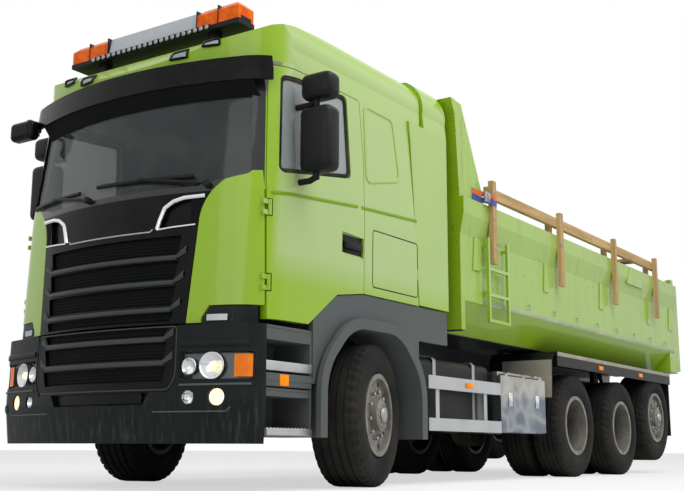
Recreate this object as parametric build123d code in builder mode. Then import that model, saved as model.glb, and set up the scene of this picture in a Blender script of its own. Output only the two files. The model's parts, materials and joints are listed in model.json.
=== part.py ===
"""Four-axle forward-control tipper truck: frame, cab, wheels, tipping bed and hoist.

Millimetres. X runs forward, Y to the left and Z up. The ground is Z = 0 and the
origin lies midway along the length, on the centre line.
"""
from math import atan2, cos, radians, sin, sqrt
import os

from build123d import *

os.makedirs("parts", exist_ok=True)

# Overall layout, measured along the truck
FRONT_OVERHANG = 1560.0
WHEELBASE = 3850.0
DRIVE_SPACING = 1360.0
TAG_SPACING = 1250.0
REAR_OVERHANG = 1100.0
LENGTH = FRONT_OVERHANG + WHEELBASE + DRIVE_SPACING + TAG_SPACING + REAR_OVERHANG
FRONT_AXLE_X = LENGTH / 2 - FRONT_OVERHANG
DRIVE_1_X = FRONT_AXLE_X - WHEELBASE
DRIVE_2_X = DRIVE_1_X - DRIVE_SPACING
TAG_X = DRIVE_2_X - TAG_SPACING
TAIL_X = -LENGTH / 2

# Clearances
FIT = 0.3
PANEL_GAP = 6.0

# Wheels and axles
TYRE_R = 515.0
TYRE_OUTER_Y = 1250.0
SINGLE_W = 385.0
TWIN_W = 312.0
TWIN_SPACING = 345.0
TREAD_SHOULDER = 40.0
RIM_R = 298.0
SEAT_R = 286.0
BARREL_R = 262.0
DRUM_R = 205.0
HUB_R = 115.0
DISC_T = 14.0
SPINDLE_R = 45.0
DRIVE_SPINDLE_R = 60.0
TAG_LIFT = 150.0
STEER_REST = 13.0
KINGPIN_Y = 925.0
KINGPIN_R = 22.0
SINGLE_Y = TYRE_OUTER_Y - SINGLE_W / 2
TWIN_Y = TYRE_OUTER_Y - TWIN_W / 2
TWIN_MID_Y = TWIN_Y - TWIN_SPACING / 2
AXLE_TUBE_R = 78.0

# Chassis frame
FRAME_TOP_Z = 1030.0
RAIL_H = 270.0
RAIL_W = 90.0
RAIL_T = 10.0
FRAME_HALF_W = 385.0

# Cab
CAB_WALL = 50.0
CAB_HALF_W = 1215.0
CAB_BOTTOM_Z = 1060.0
CAB_FLOOR_Z = 1385.0
BELT_Z = 1960.0
GUTTER_Z = 2880.0
ROOF_TOP_Z = 3340.0
CAB_BACK_X = FRONT_AXLE_X - 800.0
CAB_CORNER_R = 330.0
CAB_FRONT_R = 2800.0
BUMPER_FRONT_R = 3600.0
BUMPER_CORNER_R = 150.0
PANEL_T = 42.0
TUNNEL_HALF_W = 460.0
TUNNEL_Z = 1360.0
GLASS_T = 6.0
GLASS_INSET = 16.0

# Bed and its hoist
BED_HALF_W = 1250.0
BED_WALL = 60.0
BED_BOTTOM_Z = 1255.0
BED_FLOOR_T = 50.0
BED_SLOPE_Z = 1515.0
BED_KEEL_Y = 1000.0
BED_TOP_Z = 2410.0
RAIL_OUT = 40.0
BED_FRONT_X = FRONT_AXLE_X - 1335.0
HEADBOARD_T = 70.0
HEADBOARD_TOP_Z = 3265.0
GATE_T = 150.0
PIVOT_X = TAG_X - 490.0
PIVOT_Z = 1100.0
PIVOT_R = 45.0
HOIST_FOOT_X = FRONT_AXLE_X - 980.0
HOIST_FOOT_Z = 1000.0
HOIST_EYE_X = FRONT_AXLE_X - 1150.0
HOIST_EYE_Z = 2800.0
HOIST_STAGES = 3


def ahead(distance):
    """Return the X of a point this far ahead of the front axle."""
    return FRONT_AXLE_X + distance


def prism_y(outline, y_low, y_high, round_r=0.0):
    """Extrude an outline of (x, z) corners sideways from y_low to y_high."""
    with BuildPart() as made:
        with BuildSketch(Plane.XZ.offset(-y_high)) as face:
            with BuildLine():
                Polyline(*outline, close=True)
            make_face()
            if round_r:
                fillet(face.vertices(), round_r)
        extrude(amount=y_high - y_low)
    return made.part


def prism_x(outline, x_low, x_high, round_r=0.0):
    """Extrude an outline of (y, z) corners forward from x_low to x_high."""
    with BuildPart() as made:
        with BuildSketch(Plane.YZ.offset(x_low)) as face:
            with BuildLine():
                Polyline(*outline, close=True)
            make_face()
            if round_r:
                fillet(face.vertices(), round_r)
        extrude(amount=x_high - x_low)
    return made.part


def block(x_low, x_high, y_low, y_high, z_low, z_high):
    """Return a plain box between two corners."""
    with BuildPart() as made:
        with Locations(((x_low + x_high) / 2, (y_low + y_high) / 2, (z_low + z_high) / 2)):
            Box(x_high - x_low, y_high - y_low, z_high - z_low)
    return made.part


def rod_y(x, z, radius, y_low, y_high):
    """Return a round bar lying across the truck."""
    with BuildPart() as made:
        with Locations((x, (y_low + y_high) / 2, z)):
            Cylinder(radius, y_high - y_low, rotation=(90, 0, 0))
    return made.part


def rod_x(y, z, radius, x_low, x_high):
    """Return a round bar lying along the truck."""
    with BuildPart() as made:
        with Locations(((x_low + x_high) / 2, y, z)):
            Cylinder(radius, x_high - x_low, rotation=(0, 90, 0))
    return made.part


def other_side(solid):
    """Return the mirror image on the right-hand side."""
    return mirror(solid, about=Plane.XZ, mode=Mode.PRIVATE)


def save(part, label):
    """Name a finished piece and write its file."""
    part.label = label
    export_step(part, f"parts/{label}.step")


def revolved(outline):
    """Turn an outline of (radius, along Y) corners about the Y axis."""
    with BuildPart() as made:
        with BuildSketch(Plane.XY):
            with BuildLine():
                Polyline(*outline, close=True)
            make_face()
        revolve(axis=Axis.Y)
    return made.part


# Wheels, each made at the origin with its outer face towards +Y


def tyre_ring(width, middle_y):
    """Return one tyre ring, centred on middle_y along its axle."""
    bead = SEAT_R + FIT
    # Each corner on one side: radius, distance from the middle
    flank = [
        (bead, 0.38 * width),
        (bead + 100, width / 2),
        (TYRE_R, width / 2 - TREAD_SHOULDER),
    ]
    outline = [(r, middle_y - along) for r, along in flank]
    outline += [(r, middle_y + along) for r, along in reversed(flank)]
    return revolved(outline)


def single_rim():
    """Return the rim, disc, drum and hub of a single wheel."""
    edge = 0.46 * SINGLE_W
    disc = edge - 36
    drum_end = disc - DISC_T - 170
    outline = [
        (0, disc + 66),
        (HUB_R, disc + 54),
        (HUB_R, disc),
        (BARREL_R, disc),
        (BARREL_R, edge),
        (RIM_R, edge),
        (RIM_R, edge - 12),
        (SEAT_R, edge - 12),
        (SEAT_R, 12 - edge),
        (RIM_R, 12 - edge),
        (RIM_R, -edge),
        (BARREL_R, -edge),
        (BARREL_R, disc - DISC_T),
        (DRUM_R, disc - DISC_T),
        (DRUM_R, drum_end),
        (SPINDLE_R + FIT, drum_end),
        (SPINDLE_R + FIT, disc - 30),
        (0, disc - 30),
    ]
    with BuildPart() as made:
        add(revolved(outline))
        with BuildSketch(Plane.XZ.offset(-disc)):
            with PolarLocations((BARREL_R + DRUM_R) / 2, 10):
                Circle(23)
        extrude(amount=DISC_T, mode=Mode.SUBTRACT)
    return made.part


def twin_rim():
    """Return the two deep rims, joined discs, drum and hub of a twin wheel.

    The outer tyre's middle lies at the origin.
    """
    edge = 0.46 * TWIN_W
    middle = -TWIN_SPACING / 2
    inner = -TWIN_SPACING
    drum_end = middle - DISC_T - 150
    outline = [
        (0, middle + 150),
        (HUB_R, middle + 135),
        (HUB_R, middle + 60),
        (HUB_R + 30, middle + 40),
        (HUB_R + 30, middle + DISC_T),
        (BARREL_R, middle + DISC_T),
        (BARREL_R, edge),
        (RIM_R, edge),
        (RIM_R, edge - 12),
        (SEAT_R, edge - 12),
        (SEAT_R, 12 - edge),
        (RIM_R, 12 - edge),
        (RIM_R, -edge),
        (BARREL_R + 10, -edge),
        (BARREL_R + 10, inner + edge),
        (RIM_R, inner + edge),
        (RIM_R, inner + edge - 12),
        (SEAT_R, inner + edge - 12),
        (SEAT_R, inner - edge + 12),
        (RIM_R, inner - edge + 12),
        (RIM_R, inner - edge),
        (BARREL_R, inner - edge),
        (BARREL_R, middle - DISC_T),
        (DRUM_R, middle - DISC_T),
        (DRUM_R, drum_end),
        (DRIVE_SPINDLE_R + FIT, drum_end),
        (DRIVE_SPINDLE_R + FIT, middle + 40),
        (0, middle + 40),
    ]
    with BuildPart() as made:
        add(revolved(outline))
        with BuildSketch(Plane.XZ.offset(-middle - DISC_T)):
            with PolarLocations((BARREL_R + DRUM_R) / 2, 10):
                Circle(23)
        extrude(amount=2 * DISC_T, mode=Mode.SUBTRACT)
    return made.part


single_tyre = tyre_ring(SINGLE_W, 0)
single_wheel = single_rim()
with BuildPart() as twin_tyres:
    add(tyre_ring(TWIN_W, 0))
    add(tyre_ring(TWIN_W, -TWIN_SPACING))
twin_wheel = twin_rim()

# Each rear wheel station: name, axle X, hub height, twin or single
REAR_STATIONS = [
    ("drive_1", DRIVE_1_X, TYRE_R, True),
    ("drive_2", DRIVE_2_X, TYRE_R, True),
    ("tag", TAG_X, TYRE_R + TAG_LIFT, False),
]
for axle, axle_x, hub_z, is_twin in REAR_STATIONS:
    for side, turn in (("left", 0), ("right", 180)):
        hub_y = TWIN_Y if is_twin else SINGLE_Y
        hub_y = hub_y if side == "left" else -hub_y
        place = Location((axle_x, hub_y, hub_z), (0, 0, turn))
        with BuildPart() as tyre:
            add((twin_tyres.part if is_twin else single_tyre).moved(place))
        save(tyre.part, f"{axle}_{side}_tyre")
        with BuildPart() as wheel:
            add((twin_wheel if is_twin else single_wheel).moved(place))
        save(wheel.part, f"{axle}_{side}_wheel")

# Steering knuckles and front wheels, made straight ahead and then turned
FORK_GAP = 1.0
EYE_R = 52.0
EYE_HALF_H = 62.0
FORK_H = 44.0
SPINDLE_END_Y = SINGLE_Y + 0.46 * SINGLE_W - 36 - 32
DRUM_BACK_Y = SINGLE_Y + 0.46 * SINGLE_W - 36 - DISC_T - 170


def knuckle_at(kingpin_x):
    """Return the left steering knuckle, straight ahead, about its kingpin."""
    with BuildPart() as made:
        fork_top = EYE_HALF_H + FORK_GAP
        for low in (fork_top, -fork_top - FORK_H):
            with Locations((kingpin_x, KINGPIN_Y, TYRE_R + low + FORK_H / 2)):
                Cylinder(EYE_R, FORK_H)
        add(block(kingpin_x - 45, kingpin_x + 45, KINGPIN_Y, KINGPIN_Y + EYE_R + 36,
                  TYRE_R + fork_top, TYRE_R + fork_top + FORK_H))
        add(block(kingpin_x - 45, kingpin_x + 45, KINGPIN_Y, KINGPIN_Y + EYE_R + 36,
                  TYRE_R - fork_top - FORK_H, TYRE_R - fork_top))
        add(block(kingpin_x - 45, kingpin_x + 45, KINGPIN_Y + EYE_R + 8, KINGPIN_Y + EYE_R + 36,
                  TYRE_R - fork_top - FORK_H, TYRE_R + fork_top + FORK_H))
        with Locations((kingpin_x, KINGPIN_Y, TYRE_R)):
            Cylinder(KINGPIN_R, 2 * (fork_top + FORK_H))
        add(rod_y(kingpin_x, TYRE_R, SPINDLE_R, KINGPIN_Y + EYE_R + 10, SPINDLE_END_Y))
    return made.part


def steered(solid, side):
    """Turn a front piece about its own kingpin to the rest angle."""
    pin_y = KINGPIN_Y if side == "left" else -KINGPIN_Y
    return solid.rotate(Axis((FRONT_AXLE_X, pin_y, 0), (0, 0, 1)), STEER_REST)


for side, turn in (("left", 0), ("right", 180)):
    hub_y = SINGLE_Y if side == "left" else -SINGLE_Y
    place = Location((FRONT_AXLE_X, hub_y, TYRE_R), (0, 0, turn))
    straight = knuckle_at(FRONT_AXLE_X)
    with BuildPart() as knuckle:
        add(steered(straight if side == "left" else other_side(straight), side))
    save(knuckle.part, f"{side}_knuckle")
    with BuildPart() as tyre:
        add(steered(single_tyre.moved(place), side))
    save(tyre.part, f"front_{side}_tyre")
    with BuildPart() as wheel:
        add(steered(single_wheel.moved(place), side))
    save(wheel.part, f"front_{side}_wheel")

# Axles
with BuildPart() as front_axle:
    beam = [
        (-KINGPIN_Y + EYE_R - 10, TYRE_R - 50),
        (-KINGPIN_Y + EYE_R - 10, TYRE_R + 50),
        (-680, TYRE_R - 20),
        (680, TYRE_R - 20),
        (KINGPIN_Y - EYE_R + 10, TYRE_R + 50),
        (KINGPIN_Y - EYE_R + 10, TYRE_R - 50),
        (680, TYRE_R - 140),
        (-680, TYRE_R - 140),
    ]
    add(prism_x(beam, FRONT_AXLE_X - 45, FRONT_AXLE_X + 45))
    with Locations((FRONT_AXLE_X, KINGPIN_Y, TYRE_R), (FRONT_AXLE_X, -KINGPIN_Y, TYRE_R)):
        Cylinder(EYE_R, 2 * EYE_HALF_H)
        Cylinder(KINGPIN_R + FIT, 2 * EYE_HALF_H, mode=Mode.SUBTRACT)
save(front_axle.part, "front_axle")

TWIN_DRUM_END = TWIN_MID_Y - DISC_T - 150
with BuildPart() as drive_axles:
    for axle_x in (DRIVE_1_X, DRIVE_2_X):
        add(rod_y(axle_x, TYRE_R, AXLE_TUBE_R, 4 - TWIN_DRUM_END, TWIN_DRUM_END - 4))
        add(rod_y(axle_x, TYRE_R, DRIVE_SPINDLE_R, -TWIN_MID_Y - 38, TWIN_MID_Y + 38))
        with Locations((axle_x, 0, TYRE_R)):
            Cylinder(205, 230, rotation=(90, 0, 0))
        add(rod_x(0, TYRE_R, 95, axle_x, axle_x + 330))
    add(rod_x(0, TYRE_R, 50, DRIVE_2_X, DRIVE_1_X))
save(drive_axles.part, "drive_axles")

TAG_DRUM_END = SINGLE_Y + 0.46 * SINGLE_W - 36 - DISC_T - 170
TAG_HUB_Z = TYRE_R + TAG_LIFT
with BuildPart() as tag_axle:
    add(rod_y(TAG_X, TAG_HUB_Z, AXLE_TUBE_R, 4 - TAG_DRUM_END, TAG_DRUM_END - 4))
    add(rod_y(TAG_X, TAG_HUB_Z, SPINDLE_R, -SPINDLE_END_Y, SPINDLE_END_Y))
save(tag_axle.part, "tag_axle")

# Frame rails, cross members, cab mounts and tail
RAIL_BOTTOM_Z = FRAME_TOP_Z - RAIL_H
BUMPER_T = 60.0
GRILLE_IN = BUMPER_T - 8
BUMPER_TOP_FRONT = FRONT_OVERHANG - 10
GRILLE_BOW = FRAME_HALF_W**2 / (2 * (BUMPER_FRONT_R - GRILLE_IN)) + 0.2
FRAME_FRONT_X = ahead(BUMPER_TOP_FRONT - GRILLE_IN - GRILLE_BOW - FIT)
FRAME_TAIL_X = PIVOT_X - 190
with BuildPart() as chassis_frame:
    rail = [
        (FRAME_HALF_W, RAIL_BOTTOM_Z),
        (FRAME_HALF_W, FRAME_TOP_Z),
        (FRAME_HALF_W - RAIL_W, FRAME_TOP_Z),
        (FRAME_HALF_W - RAIL_W, FRAME_TOP_Z - RAIL_T),
        (FRAME_HALF_W - RAIL_T, FRAME_TOP_Z - RAIL_T),
        (FRAME_HALF_W - RAIL_T, RAIL_BOTTOM_Z + RAIL_T),
        (FRAME_HALF_W - RAIL_W, RAIL_BOTTOM_Z + RAIL_T),
        (FRAME_HALF_W - RAIL_W, RAIL_BOTTOM_Z),
    ]
    left_rail = prism_x(rail, FRAME_TAIL_X, FRAME_FRONT_X)
    add(left_rail)
    add(other_side(left_rail))
    inside = FRAME_HALF_W - RAIL_T / 2
    cross_x = (ahead(1300), ahead(-1250), DRIVE_1_X + 560, (DRIVE_1_X + DRIVE_2_X) / 2,
               (DRIVE_2_X + TAG_X) / 2, FRAME_TAIL_X + 90)
    for x in cross_x:
        add(block(x - 45, x + 45, -inside, inside, FRAME_TOP_Z - 175, FRAME_TOP_Z - 40))
    for x in (ahead(1175), ahead(-590)):
        for low_y, high_y in ((305, 380), (-380, -305)):
            add(block(x - 30, x + 30, low_y, high_y, FRAME_TOP_Z - 2, TUNNEL_Z - FIT))
    under_x = FRAME_TAIL_X + 40
    for low_y, high_y in ((FRAME_HALF_W - 60, FRAME_HALF_W), (-FRAME_HALF_W, 60 - FRAME_HALF_W)):
        add(block(under_x - 40, under_x + 40, low_y, high_y, 460, RAIL_BOTTOM_Z + 5))
    add(block(under_x - 60, under_x + 60, -1150, 1150, 440, 560))
save(chassis_frame.part, "chassis_frame")

# Cab shell: plan sections at three heights, joined by straight sides
# Each row: height, front edge ahead of the front axle, half width
CAB_ROWS = [
    (CAB_BOTTOM_Z - 20, 1545.0, CAB_HALF_W - 12),
    (BELT_Z, 1500.0, CAB_HALF_W),
    (GUTTER_Z, 1385.0, CAB_HALF_W - 25),
]
BUMPER_BOTTOM_Z = 300.0
BUMPER_TOP_Z = CAB_BOTTOM_Z - 8
BUMPER_ROWS = [
    (BUMPER_BOTTOM_Z, 1530.0, CAB_HALF_W - 15),
    (560.0, FRONT_OVERHANG, CAB_HALF_W - 5),
    (BUMPER_TOP_Z, BUMPER_TOP_FRONT, CAB_HALF_W - 8),
]


def plan_outline(front_x, half_w, corner_r, front_r, back_x, back_r):
    """Draw the plan of the cab: bowed front, round corners, straight sides."""
    bow_x = front_x - front_r
    reach = front_r - corner_r
    corner_y = half_w - corner_r
    corner_x = bow_x + sqrt(reach**2 - corner_y**2)
    tilt = atan2(corner_y, corner_x - bow_x)
    meet = (bow_x + front_r * cos(tilt), front_r * sin(tilt))
    half_way = (tilt + radians(90)) / 2
    bend = (corner_x + corner_r * cos(half_way), corner_y + corner_r * sin(half_way))
    back_bend = back_r * (1 - sqrt(0.5))
    with BuildLine() as plan:
        ThreePointArc((meet[0], -meet[1]), (front_x, 0), meet)
        ThreePointArc(meet, bend, (corner_x, half_w))
        Line((corner_x, half_w), (back_x + back_r, half_w))
        ThreePointArc((back_x + back_r, half_w), (back_x + back_bend, half_w - back_bend),
                      (back_x, half_w - back_r))
        Line((back_x, half_w - back_r), (back_x, back_r - half_w))
        ThreePointArc((back_x, back_r - half_w), (back_x + back_bend, back_bend - half_w),
                      (back_x + back_r, -half_w))
        Line((back_x + back_r, -half_w), (corner_x, -half_w))
        ThreePointArc((corner_x, -half_w), (bend[0], -bend[1]), (meet[0], -meet[1]))
    return plan.line


def plan_loft(rows, inset, corner_r, front_r, back_x):
    """Return the solid through the rows' plan sections, drawn in by inset."""
    with BuildPart() as made:
        for z, front, half_w in rows:
            with BuildSketch(Plane.XY.offset(z)):
                add(plan_outline(ahead(front) - inset, half_w - inset, corner_r - inset,
                                 front_r - inset, back_x + inset, 130.0 - inset))
                make_face()
        loft(ruled=True)
    return made.part


def cab_loft(inset):
    """Return the cab's sides and front, drawn in by inset, cut square below."""
    return plan_loft(CAB_ROWS, inset, CAB_CORNER_R, CAB_FRONT_R, CAB_BACK_X)


def bumper_loft(inset):
    """Return the bumper's plan form, drawn in by inset."""
    return plan_loft(BUMPER_ROWS, inset, BUMPER_CORNER_R, BUMPER_FRONT_R, ahead(400))


STEP_X = 790.0
STEP_Z = 1095.0
ARCH_X = 455.0
ARCH_Z = 1335.0


def cab_form(inset):
    """Return the whole cab below the gutter, drawn in by inset on every side."""
    under = [
        (CAB_BACK_X - 200, 400),
        (CAB_BACK_X - 200, CAB_FLOOR_Z + inset),
        (ahead(110), CAB_FLOOR_Z + inset),
        (ahead(ARCH_X), ARCH_Z + inset),
        (ahead(STEP_X), STEP_Z + inset),
        (ahead(1300), STEP_Z - 5 + inset),
        (ahead(1700), CAB_BOTTOM_Z + 2 + inset),
        (ahead(1700), 400),
    ]
    with BuildPart() as made:
        add(cab_loft(inset))
        add(prism_y(under, -1400, 1400), mode=Mode.SUBTRACT)
        add(block(CAB_BACK_X - 200, ahead(1250), -TUNNEL_HALF_W - inset,
                  TUNNEL_HALF_W + inset, 400, TUNNEL_Z + inset), mode=Mode.SUBTRACT)
    return made.part


def grown_y(outline, y_low, y_high, round_r, growth):
    """Extrude a rounded (x, z) outline sideways, grown by growth all round."""
    with BuildPart() as made:
        with BuildSketch(Plane.XZ.offset(-y_high)) as face:
            with BuildLine():
                Polyline(*outline, close=True)
            make_face()
            fillet(face.vertices(), round_r)
            if growth:
                offset(amount=growth, mode=Mode.REPLACE)
        extrude(amount=y_high - y_low)
    return made.part


def grown_x(outline, x_low, x_high, round_r, growth):
    """Extrude a rounded (y, z) outline forward, grown by growth all round."""
    with BuildPart() as made:
        with BuildSketch(Plane.YZ.offset(x_low)) as face:
            with BuildLine():
                Polyline(*outline, close=True)
            make_face()
            fillet(face.vertices(), round_r)
            if growth:
                offset(amount=growth, mode=Mode.REPLACE)
        extrude(amount=x_high - x_low)
    return made.part


def between(outer, inner, window):
    """Return the layer between two forms, kept only inside a window."""
    with BuildPart() as made:
        add(outer)
        add(inner, mode=Mode.SUBTRACT)
        add(window, mode=Mode.INTERSECT)
    return made.part


cab_skin = cab_loft(0)
cab_back = cab_loft(PANEL_T)
cab_outer = cab_form(0)
cab_inner = cab_form(CAB_WALL)
glass_outer = cab_loft(GLASS_INSET)
glass_inner = cab_loft(GLASS_INSET + GLASS_T)

DOOR_FRONT = 1205.0
DOOR_REAR = 106.0
DOOR_TOP_Z = GUTTER_Z - 28
DOOR_DEEP_Y = CAB_HALF_W - 260
SEAM_X = ahead(DOOR_FRONT + 8)
HINGE_X = ahead(DOOR_FRONT - 25)
HINGE_Y = CAB_HALF_W - 53
HINGE_R = 15.0
HINGE_PIN_R = 8.0
HINGE_ROWS = (1330.0, 1830.0)
HINGE_H = 60.0
DOOR_SWEEP_R = 56.0
door_outline = [
    (ahead(DOOR_FRONT), 900),
    (ahead(DOOR_FRONT), BELT_Z + 40),
    (ahead(DOOR_FRONT - 65), DOOR_TOP_Z),
    (ahead(DOOR_REAR + 44), DOOR_TOP_Z),
    (ahead(DOOR_REAR), DOOR_TOP_Z - 452),
    (ahead(DOOR_REAR), 900),
]
door_window = [
    (ahead(1120), BELT_Z + 115),
    (ahead(1070), GUTTER_Z - 95),
    (ahead(322), GUTTER_Z - 45),
    (ahead(282), BELT_Z + 252),
]
screen_outline = [
    (1075, BELT_Z + 105),
    (1015, GUTTER_Z - 95),
    (-1015, GUTTER_Z - 95),
    (-1075, BELT_Z + 105),
    (-700, BELT_Z + 30),
    (700, BELT_Z + 30),
]
screen_from_x = ahead(1000)
screen_to_x = ahead(1700)


def hinge_half(z_low, z_high, radius):
    """Return one upright barrel on the left door's hinge line."""
    with BuildPart() as made:
        with Locations((HINGE_X, HINGE_Y, (z_low + z_high) / 2)):
            Cylinder(radius, z_high - z_low)
    return made.part


# Corner panels beside the grille: a straight inner edge that arcs over to the door seam
CORNER_IN_Y = 705.0
CORNER_LEAN = 48.0
CORNER_BEND_Z = 1770.0
CORNER_TOP_Z = 2090.0
CORNER_LOW_Z = CAB_BOTTOM_Z + 5
GRILLE_TOP_Z = BELT_Z - 12


def corner_window(gap):
    """Return a block along X over the left corner panel, grown by gap at its inner edge."""
    bend = (CORNER_IN_Y + CORNER_LEAN - gap, CORNER_BEND_Z)
    top = (CORNER_IN_Y + 345, CORNER_TOP_Z - 14 + gap)
    middle = (CORNER_IN_Y + 145 - 0.7 * gap, CORNER_TOP_Z - 118 + 0.7 * gap)
    with BuildPart() as made:
        with BuildSketch(Plane.YZ.offset(SEAM_X)):
            with BuildLine():
                Line((CORNER_IN_Y - gap, CORNER_LOW_Z), bend)
                ThreePointArc(bend, middle, top)
                Polyline(top, (1350, CORNER_TOP_Z + gap), (1350, CORNER_LOW_Z),
                         (CORNER_IN_Y - gap, CORNER_LOW_Z))
            make_face()
        extrude(amount=ahead(1700) - SEAM_X)
    return made.part


# Side wind deflectors behind the cab; the cab side is cut back to receive them
DEFLECTOR_BACK = -1185.0
deflector_side = [
    (ahead(-700), CAB_FLOOR_Z + 8),
    (ahead(-580), 2724),
    (ahead(-555), GUTTER_Z),
    (ahead(DEFLECTOR_BACK), GUTTER_Z),
    (ahead(DEFLECTOR_BACK), CAB_FLOOR_Z + 8),
]
DEFLECTOR_IN_Y = CAB_HALF_W - 42
DEFLECTOR_OUT_Y = CAB_HALF_W - 4

with BuildPart() as firewall:
    add(block(ahead(1150), ahead(1190), -1085, 1085, STEP_Z - 4, BELT_Z + 2))
    add(block(ahead(1150), ahead(1600), -1070, 1070, GRILLE_TOP_Z, BELT_Z + 10))
    add(cab_form(CAB_WALL - 2), mode=Mode.INTERSECT)
with BuildPart() as cab_body:
    add(cab_outer)
    add(cab_inner, mode=Mode.SUBTRACT)
    add(block(ahead(1190), ahead(1700), -1400, 1400, 900, GRILLE_TOP_Z), mode=Mode.SUBTRACT)
    corner_seat = between(cab_loft(-20), cab_loft(PANEL_T + FIT), corner_window(FIT))
    add(corner_seat, mode=Mode.SUBTRACT)
    add(other_side(corner_seat), mode=Mode.SUBTRACT)
    add(grown_x(screen_outline, screen_from_x, screen_to_x, 40, 0), mode=Mode.SUBTRACT)
    opening = between(cab_loft(-20), cab_loft(CAB_WALL + PANEL_GAP),
                      grown_y(door_outline, DOOR_DEEP_Y, 1400, 30, 0))
    add(opening, mode=Mode.SUBTRACT)
    add(other_side(opening), mode=Mode.SUBTRACT)
    pocket = prism_y([(x + (PANEL_GAP if z < GUTTER_Z and x > ahead(-900) else 0), z)
                      for x, z in deflector_side[:3]]
                     + [(ahead(DEFLECTOR_BACK), GUTTER_Z + 1), (ahead(DEFLECTOR_BACK), 1200),
                        (ahead(-700) + PANEL_GAP, 1200)], DEFLECTOR_IN_Y - 4, 1400)
    add(pocket, mode=Mode.SUBTRACT)
    add(other_side(pocket), mode=Mode.SUBTRACT)
    add(firewall.part)
    hinge_room = hinge_half(CAB_BOTTOM_Z - 40, GRILLE_TOP_Z - 60, DOOR_SWEEP_R)
    add(hinge_room, mode=Mode.SUBTRACT)
    add(other_side(hinge_room), mode=Mode.SUBTRACT)
save(cab_body.part, "cab_body")


ROOF_BACK_R = 55.0


def roof_form(inset):
    """Return the roof: its cross section, its side profile and its plan together."""
    top = ROOF_TOP_Z - inset
    side_y = CAB_HALF_W - 25 - inset
    profile = [
        (CAB_BACK_X + inset, GUTTER_Z),
        (CAB_BACK_X + inset, top - 20),
        (ahead(-420), top),
        (ahead(-180), top - 32),
        (ahead(300), top - 66),
        (ahead(880) - inset / 2, top - 136),
        (ahead(1120) - inset / 2, top - 200),
        (ahead(1270) - inset, top - 280),
        (ahead(1375) - inset, GUTTER_Z + 70),
        (ahead(1385) - inset, GUTTER_Z),
    ]
    with BuildPart() as plan:
        with BuildSketch(Plane.XY.offset(GUTTER_Z)):
            add(plan_outline(ahead(1385) - inset, side_y, CAB_CORNER_R - inset,
                             CAB_FRONT_R - inset, CAB_BACK_X + inset, ROOF_BACK_R - inset))
            make_face()
        extrude(amount=800)
    with BuildPart() as made:
        with BuildSketch(Plane.YZ.offset(CAB_BACK_X + inset)):
            add(roof_arch(inset))
            make_face()
        extrude(amount=ahead(1400) - CAB_BACK_X)
        add(prism_y(profile, -1300, 1300), mode=Mode.INTERSECT)
        add(plan.part, mode=Mode.INTERSECT)
    return made.part


def roof_arch(inset):
    """Draw the roof's cross section above the gutter."""
    side_y = CAB_HALF_W - 25 - inset
    crown = ROOF_TOP_Z + 15 - inset
    shoulder = (side_y - 170, ROOF_TOP_Z - 45 - inset)
    hip = (side_y - 12, GUTTER_Z + 120)
    haunch = (side_y - 58, GUTTER_Z + 318 - inset)
    with BuildLine() as arch:
        Line((-side_y, GUTTER_Z), (side_y, GUTTER_Z))
        Line((side_y, GUTTER_Z), hip)
        ThreePointArc(hip, haunch, shoulder)
        ThreePointArc(shoulder, (0, crown), (-shoulder[0], shoulder[1]))
        ThreePointArc((-shoulder[0], shoulder[1]), (-haunch[0], haunch[1]), (-hip[0], hip[1]))
        Line((-hip[0], hip[1]), (-side_y, GUTTER_Z))
    return arch.line


roof_skin = roof_form(0)
with BuildPart() as cab_roof:
    add(roof_skin)
    add(roof_form(45), mode=Mode.SUBTRACT)
save(cab_roof.part, "cab_roof")

with BuildPart() as windscreen:
    add(between(glass_outer, glass_inner,
                grown_x(screen_outline, screen_from_x, screen_to_x, 40, -FIT)))
save(windscreen.part, "windscreen")

# Doors, hinged at their front edges
with BuildPart() as left_door:
    add(cab_outer)
    add(cab_loft(CAB_WALL), mode=Mode.SUBTRACT)
    add(grown_y(door_outline, DOOR_DEEP_Y, 1400, 30, -PANEL_GAP), mode=Mode.INTERSECT)
    add(grown_y(door_window, 900, 1400, 45, 0), mode=Mode.SUBTRACT)
    for z in HINGE_ROWS:
        add(hinge_half(z - HINGE_H, z + HINGE_H, HINGE_R + 6), mode=Mode.SUBTRACT)
        add(block(HINGE_X, HINGE_X + 80, HINGE_Y - 25, HINGE_Y + 60,
                  z - HINGE_H, z - HINGE_H / 3), mode=Mode.SUBTRACT)
        add(block(HINGE_X, HINGE_X + 80, HINGE_Y - 25, HINGE_Y + 60,
                  z + HINGE_H / 3, z + HINGE_H), mode=Mode.SUBTRACT)
        add(hinge_half(z - HINGE_H / 3 + 1, z + HINGE_H / 3 - 1, HINGE_R))
        add(block(HINGE_X - 60, HINGE_X, HINGE_Y - HINGE_R, HINGE_Y,
                  z - HINGE_H / 3 + 1, z + HINGE_H / 3 - 1))
        add(hinge_half(z - HINGE_H, z + HINGE_H, HINGE_PIN_R + FIT), mode=Mode.SUBTRACT)
    recess = prism_y([(ahead(120), 1640), (ahead(120), 1790), (ahead(400), 1800), (ahead(400), 1650)],
                     CAB_HALF_W - 20, 1400)
    add(recess, mode=Mode.SUBTRACT)
    add(block(ahead(150), ahead(370), CAB_HALF_W - 21, CAB_HALF_W + 6, 1690, 1735))
save(left_door.part, "left_door")
with BuildPart() as right_door:
    add(other_side(left_door.part))
save(right_door.part, "right_door")
with BuildPart() as left_door_glass:
    add(between(glass_outer, glass_inner, grown_y(door_window, 900, 1400, 45, -FIT)))
save(left_door_glass.part, "left_door_glass")
with BuildPart() as right_door_glass:
    add(other_side(left_door_glass.part))
save(right_door_glass.part, "right_door_glass")

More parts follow.
